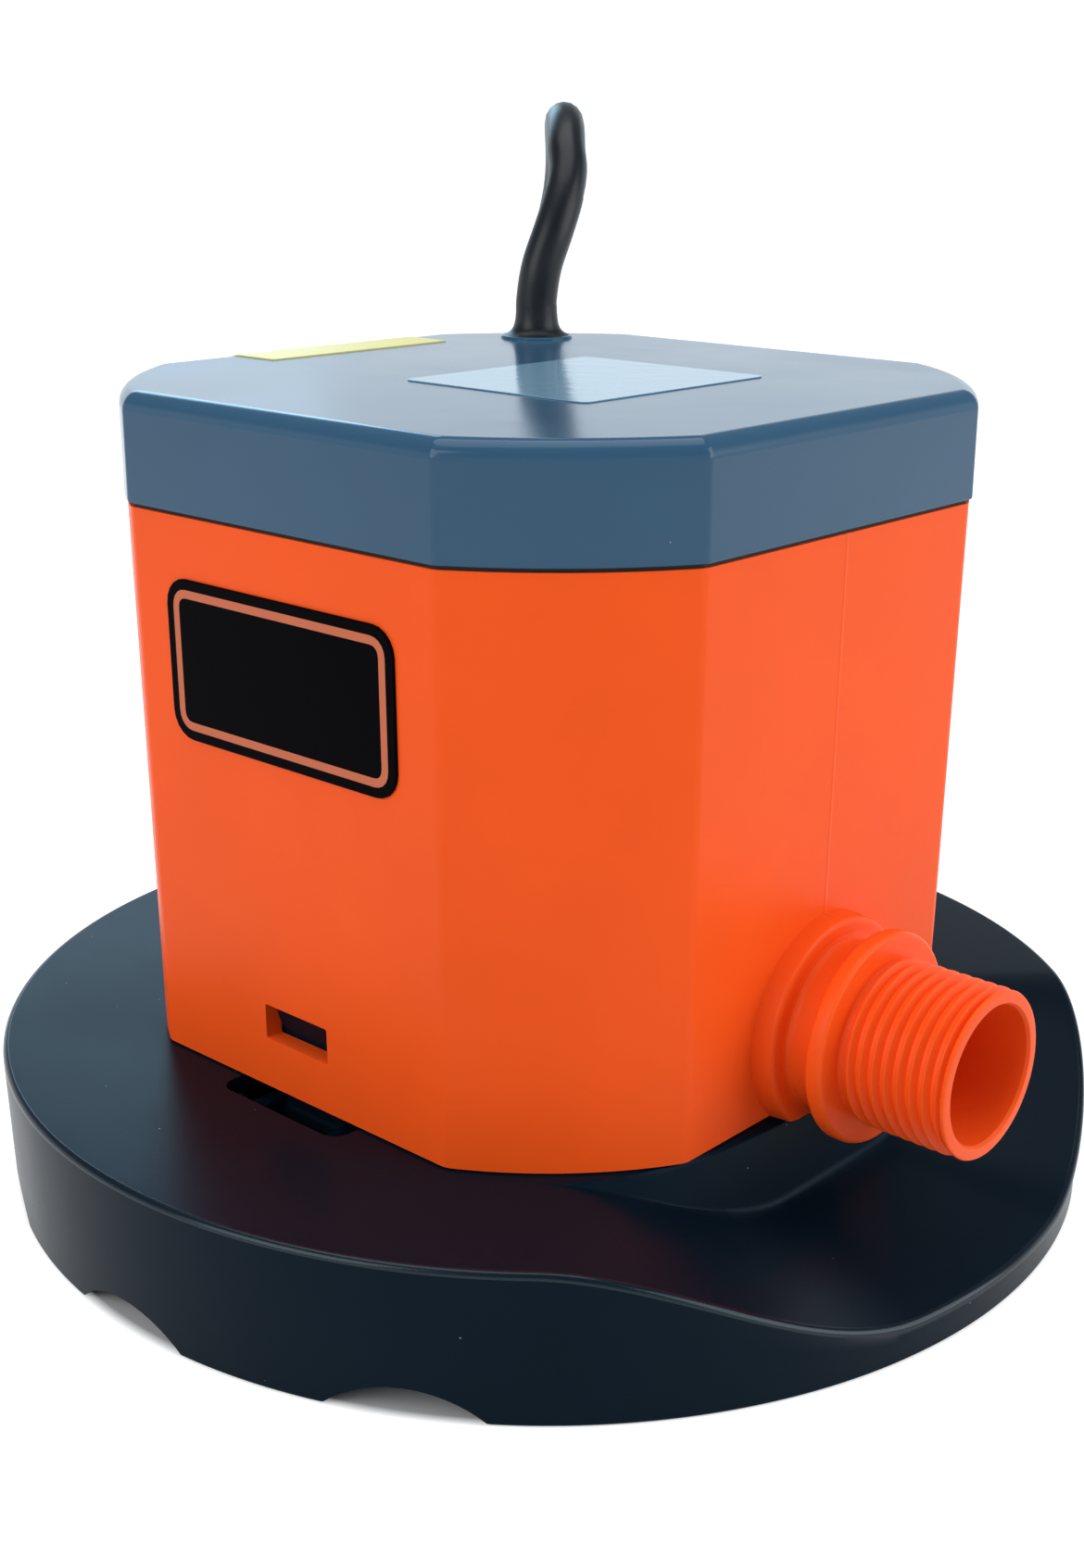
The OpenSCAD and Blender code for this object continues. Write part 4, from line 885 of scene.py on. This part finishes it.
plate_w, plate_h, plate_z = 51, 26, 94.5
plate = film("face_plate_blank", (-plate_w / 2, -plate_h / 2), (plate_w / 2, plate_h / 2), 4.5, 0.5)
plate.data.materials.append(plastic("plate_dark", (0.0015, 0.001, 0.0016), 0.3, gloss=0.01, drift=0.1,
                                    grain=0.000008))
plate.data.materials.append(plastic("plate_line", (0.56, 0.145, 0.07), 0.4, gloss=0.1, drift=0.05))
pick(plate, "FACE", lambda f: f.normal.z > 0.9)
edge_margin, border_at, border_w = 0.25, 1.4, 1.35
bpy.ops.mesh.inset(thickness=edge_margin * mm)
bpy.ops.mesh.inset(thickness=border_at * mm)
bpy.ops.mesh.inset(thickness=border_w * mm, use_select_inset=True)
plate.active_material_index = 1
bpy.ops.object.material_slot_assign()
bpy.ops.object.mode_set(mode="OBJECT")
plate_y = -(foot_half + (plate_z - foot_z) * tan(lean))
set_down(plate, (0, plate_y, plate_z), Matrix.Rotation(pi / 2 + lean, 4, "X"))
rounded(plate, 0.15, 2)
smooth(plate)
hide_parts("face_plate")
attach(plate, "pump")


# ---- Base -------------------------------------------------------------------------------------
# The wide strainer foot, moulded in near-black plastic. A raised hub carries the housing, a trough
# dips to the rim under the outlet, and arched inlets under the rim let the water in.

base_r, base_h, base_wall, draft = 95.1, 25.1, 3.0, 0.8
hub_x, hub_r, hub_spread = foot_half + 3, corner_foot + 3, 1.6
hole_r, collar_r, collar_h = 48.1, 51.0, 4.8
plate_low = base_h - base_wall
edge_r = 1.0
trough_deep, trough_fall, trough_flat, trough_blend = 13.5, 5, 11, 38


def trough_share(a):
    """How much of the trough's depth is left at an angle, in degrees, from the outlet."""
    t = min(1, max(0, (abs(a) - trough_flat) / trough_blend))
    return 1 - t * t * (3 - 2 * t)


def base_section(a):
    """The base's closed outline in the half plane at an angle: from the hub over the rim and back."""
    share = trough_share(a)
    hub = ((hub_x / cos(radians(a))) ** -12 + hub_r ** -12) ** (-1 / 12) if abs(a) < 80 else hub_r
    foot = hub + hub_spread * share

    def top(r):
        return base_h - share * (trough_deep + trough_fall * (r - hub_x) / (base_r - hub_x))

    floor_in = top(foot)
    points = [(hole_r, base_h), (hub - 4, base_h), (hub - 1.6, base_h)]
    points += [(hub - 1.0 * (1 - sin(b)), base_h - min(1.0, share * 6) * (1 - cos(b))) for b in
               (radians(30), radians(60), radians(90))]
    low = min(base_h - min(1.0, share * 6) - 0.02 * share, floor_in + 1.6 * share)
    points += [(foot + 0.02, low), (foot + 0.24, floor_in + 0.8 * share),
               (foot + 0.8, floor_in + 0.22 * share), (foot + 1.6, top(foot + 1.6))]
    last = base_r - edge_r
    outwards = [foot + 1.6 + (last - foot - 1.6) * k / 12 for k in range(1, 13)]
    points += [(r, top(r)) for r in outwards]
    rim = top(base_r)
    points += [(last + edge_r * sin(radians(b)),
                rim - edge_r + edge_r * cos(radians(b)) + (top(last) - rim) * (1 - b / 90))
               for b in (15, 30, 45, 60, 75, 90)]
    side = rim - edge_r
    points += [(base_r - draft * (1 - (side * k / 6) / base_h), side * k / 6) for k in (5, 4, 3, 2, 1)]
    points += [(base_r - draft + 0.02, 0.4), (base_r - draft - 0.4, 0), (base_r - draft - base_wall, 0)]
    under = min(plate_low, rim - base_wall)
    inner = base_r - draft - base_wall
    points += [(inner + 0.3, under * 0.5), (inner + 0.6, under - 0.8), (inner - 0.3, under)]
    inwards = [inner - 0.3 - (inner - 0.3 - hub) * k / 8 for k in range(1, 8)]
    points += [(r, min(plate_low, top(r) - base_wall)) for r in inwards]
    points += [(foot - base_wall + 0.3, min(plate_low, floor_in - base_wall)),
               (hub - base_wall, plate_low), (collar_r, plate_low), (collar_r, plate_low - collar_h),
               (hole_r, plate_low - collar_h)]
    return points


def bearing(co):
    """The angle of a point about the pump's axis, in degrees."""
    return round(atan2(co.y, co.x) * 180 / pi, 2)


columns = 360
only()
bpy.ops.mesh.primitive_circle_add(vertices=columns, radius=hole_r * mm, location=(0, 0, base_h * mm))
base = piece("base_disc_moulded")
sections = {bearing(vertex.co): base_section(bearing(vertex.co)) for vertex in base.data.vertices}
bpy.ops.object.mode_set(mode="EDIT")
bpy.ops.mesh.select_mode(type="EDGE")
bpy.ops.mesh.select_all(action="SELECT")
rings = len(sections[0.0])
for ring in list(range(1, rings)) + [0]:
    bpy.ops.mesh.extrude_region_move()
    shape = bmesh.from_edit_mesh(base.data)
    for vertex in shape.verts:
        if vertex.select:
            a = bearing(vertex.co)
            r, z = sections[a][ring]
            vertex.co = (r * mm * cos(radians(a)), r * mm * sin(radians(a)), z * mm)
    bmesh.update_edit_mesh(base.data)
close_up()

carve(base, rod("neck_room", 14.5, 12, (neck_x + 5.4, 0, outlet_z), 96))
inlets = []
inlet_w, inlet_h = 25, 5
arch_r = (inlet_w ** 2 / 4 + inlet_h ** 2) / (2 * inlet_h)
for a in (60, 90, 120, 150, 180, 210, 240, 270, 300):
    inlet = rod("inlet", arch_r, 18, (93, 0, inlet_h - arch_r), 96)
    set_down(inlet, (0, 0, 0), Matrix.Rotation(radians(a), 4, "Z"))
    inlets.append(inlet)
carve(base, join("inlets", *inlets))
trunnion_y, trunnion_z = 54.25, 19.8
ears = []
for sign in (-1, 1):
    near, far = sorted((sign * 63.75, sign * 51.5))
    scoop = box("scoop", (-14, near, 14), (14, far, 30))
    pick(scoop, "EDGE", lambda e: abs(e.verts[0].co.z - e.verts[1].co.z) > 0.01)
    bevel(2.8, 5)
    carve(base, scoop)
    near, far = sorted((sign * 67, sign * 49))
    for x in (-10.3, 7.3):
        ear = box("catch_ear", (x, near, 17.5), (x + 3, far, plate_low + 0.1))
        carve(ear, rod("trunnion_hole", 1.25, 8, (x + 1.5, sign * trunnion_y, trunnion_z), 32))
        rounded(ear, 0.3, 2)
        ears.append(ear)
lug_reach = 53.9
lugs = copies(lathe("strainer_lug", rectangle(1.43, 17.3, 3.1, 22.2), 32),
              [(lug_reach * cos(radians(a)), lug_reach * sin(radians(a)), 0) for a in (45, 135, 225, 315)])
base = join("base_disc_moulded", base, *ears, *lugs)
smooth(base, 30)
base_colour = (0.002, 0.007, 0.0135)
# The bluish specular tints of the base and its rim are painted reflection colour, standing in for cool
# surrounding light.
base_black = plastic("base_black", base_colour, 0.3, gloss=0.06, tint=(0.55, 0.8, 1), drift=0.08,
                     grain=0.00001, grain_scale=2000, dust=0.08, dust_scale=330)
base_rim = plastic("base_rubbed_rim", base_colour, 0.2, gloss=0.3, tint=(0.8, 0.93, 1), drift=0.08)
base.data.materials.append(base_black)
base.data.materials.append(base_rim)


def on_rim(face):
    """True for a face of the rounded edge at the top of the rim, which handling has polished."""
    x, y, z = face.calc_center_median() / mm
    rim = base_h - (trough_deep + trough_fall) * trough_share(atan2(y, x) * 180 / pi)
    return hypot(x, y) > base_r - edge_r and z > rim - edge_r


pick(base, "FACE", on_rim)
base.active_material_index = 1
bpy.ops.object.material_slot_assign()
bpy.ops.object.mode_set(mode="OBJECT")
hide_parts("base_disc")
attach(base, "base")


# ---- Catches ----------------------------------------------------------------------------------
# Two small arms of the base's plastic. Each stands in a slot of the hub on two short trunnions,
# and its hook holds the housing by a window in the wall.

dress(base_black, "catch_front", "catch_rear")


# ---- Strainer and chamber cover ---------------------------------------------------------------
# Under the base, a slotted disc keeps grit out. Above it, a cover with the inlet eye closes the
# pump chamber. Both are moulded in dark grey plastic and held by small stainless screws.

grey = plastic("filled_grey", (0.024, 0.031, 0.039), 0.5, grain=0.00003, grain_scale=1200, dust=0.03)
dress(grey, "strainer", "chamber_cover", "gland_nut")
stainless = metal("stainless", (0.55, 0.56, 0.58), 0.25, scale=(300, 300, 3000))
dress(stainless, "strainer_screws", "cover_screws", "cap_screws", "motor_bolts", "impeller_nut")


# ---- Impeller and shaft seal ------------------------------------------------------------------
# An open six-vane wheel moulded in cream glass-filled plastic, fixed to the shaft by a nut. Above
# it a carbon ring turns against a fixed ceramic seat and keeps the water out of the motor.

cream = plastic("impeller_cream", (0.70, 0.66, 0.55), 0.45, drift=0.05, grain=0.00003, grain_scale=1500)
dress(cream, "impeller")
ceramic = plastic("seal_ceramic", (0.66, 0.64, 0.57), 0.2, drift=0.03, grain=0.000003)
dress(ceramic, "seal_seat", "seal_head")


# ---- Motor ------------------------------------------------------------------------------------
# A shaded induction motor: stacks of varnished steel laminations with varnished copper windings
# round their teeth, a ground shaft in two bronze bushes, and a cast bracket that four bolts hold.

sheet_t, wire_d = 0.0005, 0.0009


def laminations(name, colour):
    """A stack of thin sheets: fine lines across the axis, under a coat of varnish."""
    material = metal(name, colour, 0.45, drift=0.12)
    tree = material.node_tree
    shader = tree.nodes["Principled BSDF"]
    up = node(tree, "SeparateXYZ", {0: node(tree, "TexCoord").outputs["Object"]}).outputs["Z"]
    sheet = node(tree, "Math", {0: up, 1: 2 * pi / sheet_t}, operation="MULTIPLY")
    line = node(tree, "Math", {0: sheet.outputs[0]}, operation="SINE")
    bump = node(tree, "Bump", {"Height": line.outputs[0], "Distance": 0.00004, "Strength": 1})
    tree.links.new(bump.outputs[0], shader.inputs["Normal"])
    return material


dress(laminations("stator_sheets", (0.16, 0.18, 0.20)), "stator_core")
dress(laminations("rotor_sheets", (0.20, 0.23, 0.25)), "rotor_core")

copper = metal("varnished_copper", (0.52, 0.16, 0.05), 0.3, drift=0.15)
tree = copper.node_tree
shader = tree.nodes["Principled BSDF"]
spot = node(tree, "SeparateXYZ", {0: node(tree, "TexCoord").outputs["Object"]})
across = node(tree, "CombineXYZ", {0: spot.outputs["X"], 1: spot.outputs["Y"]})
ring = node(tree, "VectorMath", {0: across.outputs[0]}, operation="LENGTH")
strand = node(tree, "Math", {0: ring.outputs["Value"], 1: 2 * pi / wire_d}, operation="MULTIPLY")
strand = node(tree, "Math", {0: spot.outputs["Z"], 1: 2 * pi / wire_d, 2: strand.outputs[0]},
              operation="MULTIPLY_ADD")
strand = node(tree, "Math", {0: strand.outputs[0]}, operation="SINE")
wire_bump = node(tree, "Bump", {"Height": strand.outputs[0], "Distance": 0.00015, "Strength": 1})
tree.links.new(wire_bump.outputs[0], shader.inputs["Normal"])
dress(copper, "lower_winding", "upper_winding")

cast = metal("cast_aluminium", (0.42, 0.44, 0.46), 0.5, depth=0.00008, scale=(700, 700, 700))
dress(cast, "bearing_bracket")
bronze = metal("sintered_bronze", (0.46, 0.27, 0.09), 0.45, depth=0.00006, scale=(2200, 2200, 2200))
dress(bronze, "lower_bush", "upper_bush")
dress(metal("ground_shaft", (0.60, 0.62, 0.64), 0.2, scale=(200, 200, 6000)), "motor_shaft")
dress(plastic("acetal_washer", (0.66, 0.58, 0.38), 0.35), "thrust_washers")


# ---- Motor fittings ---------------------------------------------------------------------------
# Above the bracket: a starting capacitor in a pale case on a cast saddle, a cream terminal block,
# a brass earth screw, a thermal cut-out on the winding, and the three leads from the gland.

dress(plastic("capacitor_case", (0.66, 0.67, 0.68), 0.4, drift=0.03), "capacitor")
dress(plastic("terminal_cream", (0.72, 0.68, 0.58), 0.45, drift=0.04), "terminal_block")
dress(plastic("cutout_brown", (0.042, 0.023, 0.014), 0.5, drift=0.2), "thermal_cutout")
dress(brass, "earth_screw")

wires = plastic("lead_sheaths", (0.5, 0.5, 0.5), 0.4)
tree = wires.node_tree
skin = next(n for n in tree.nodes if n.type == "GROUP")
spot = node(tree, "SeparateXYZ", {0: node(tree, "TexCoord").outputs["Object"]})
side = node(tree, "Math", {0: spot.outputs["X"], 1: spot.outputs["Y"]}, operation="ADD")
ramp = node(tree, "ValToRGB", {"Fac": node(tree, "MapRange", {"Value": side.outputs[0], "From Min": -0.01,
                                                            "From Max": 0.01}).outputs[0]})
ramp.color_ramp.interpolation = "CONSTANT"
ramp.color_ramp.elements[0].color = (0.02, 0.02, 0.02, 1)
ramp.color_ramp.elements[1].position = 0.42
ramp.color_ramp.elements[1].color = (0.75, 0.75, 0.72, 1)
ramp.color_ramp.elements.new(0.6).color = (0.03, 0.22, 0.05, 1)
tree.links.new(ramp.outputs[0], skin.inputs["Colour"])
dress(wires, "lead_wires")
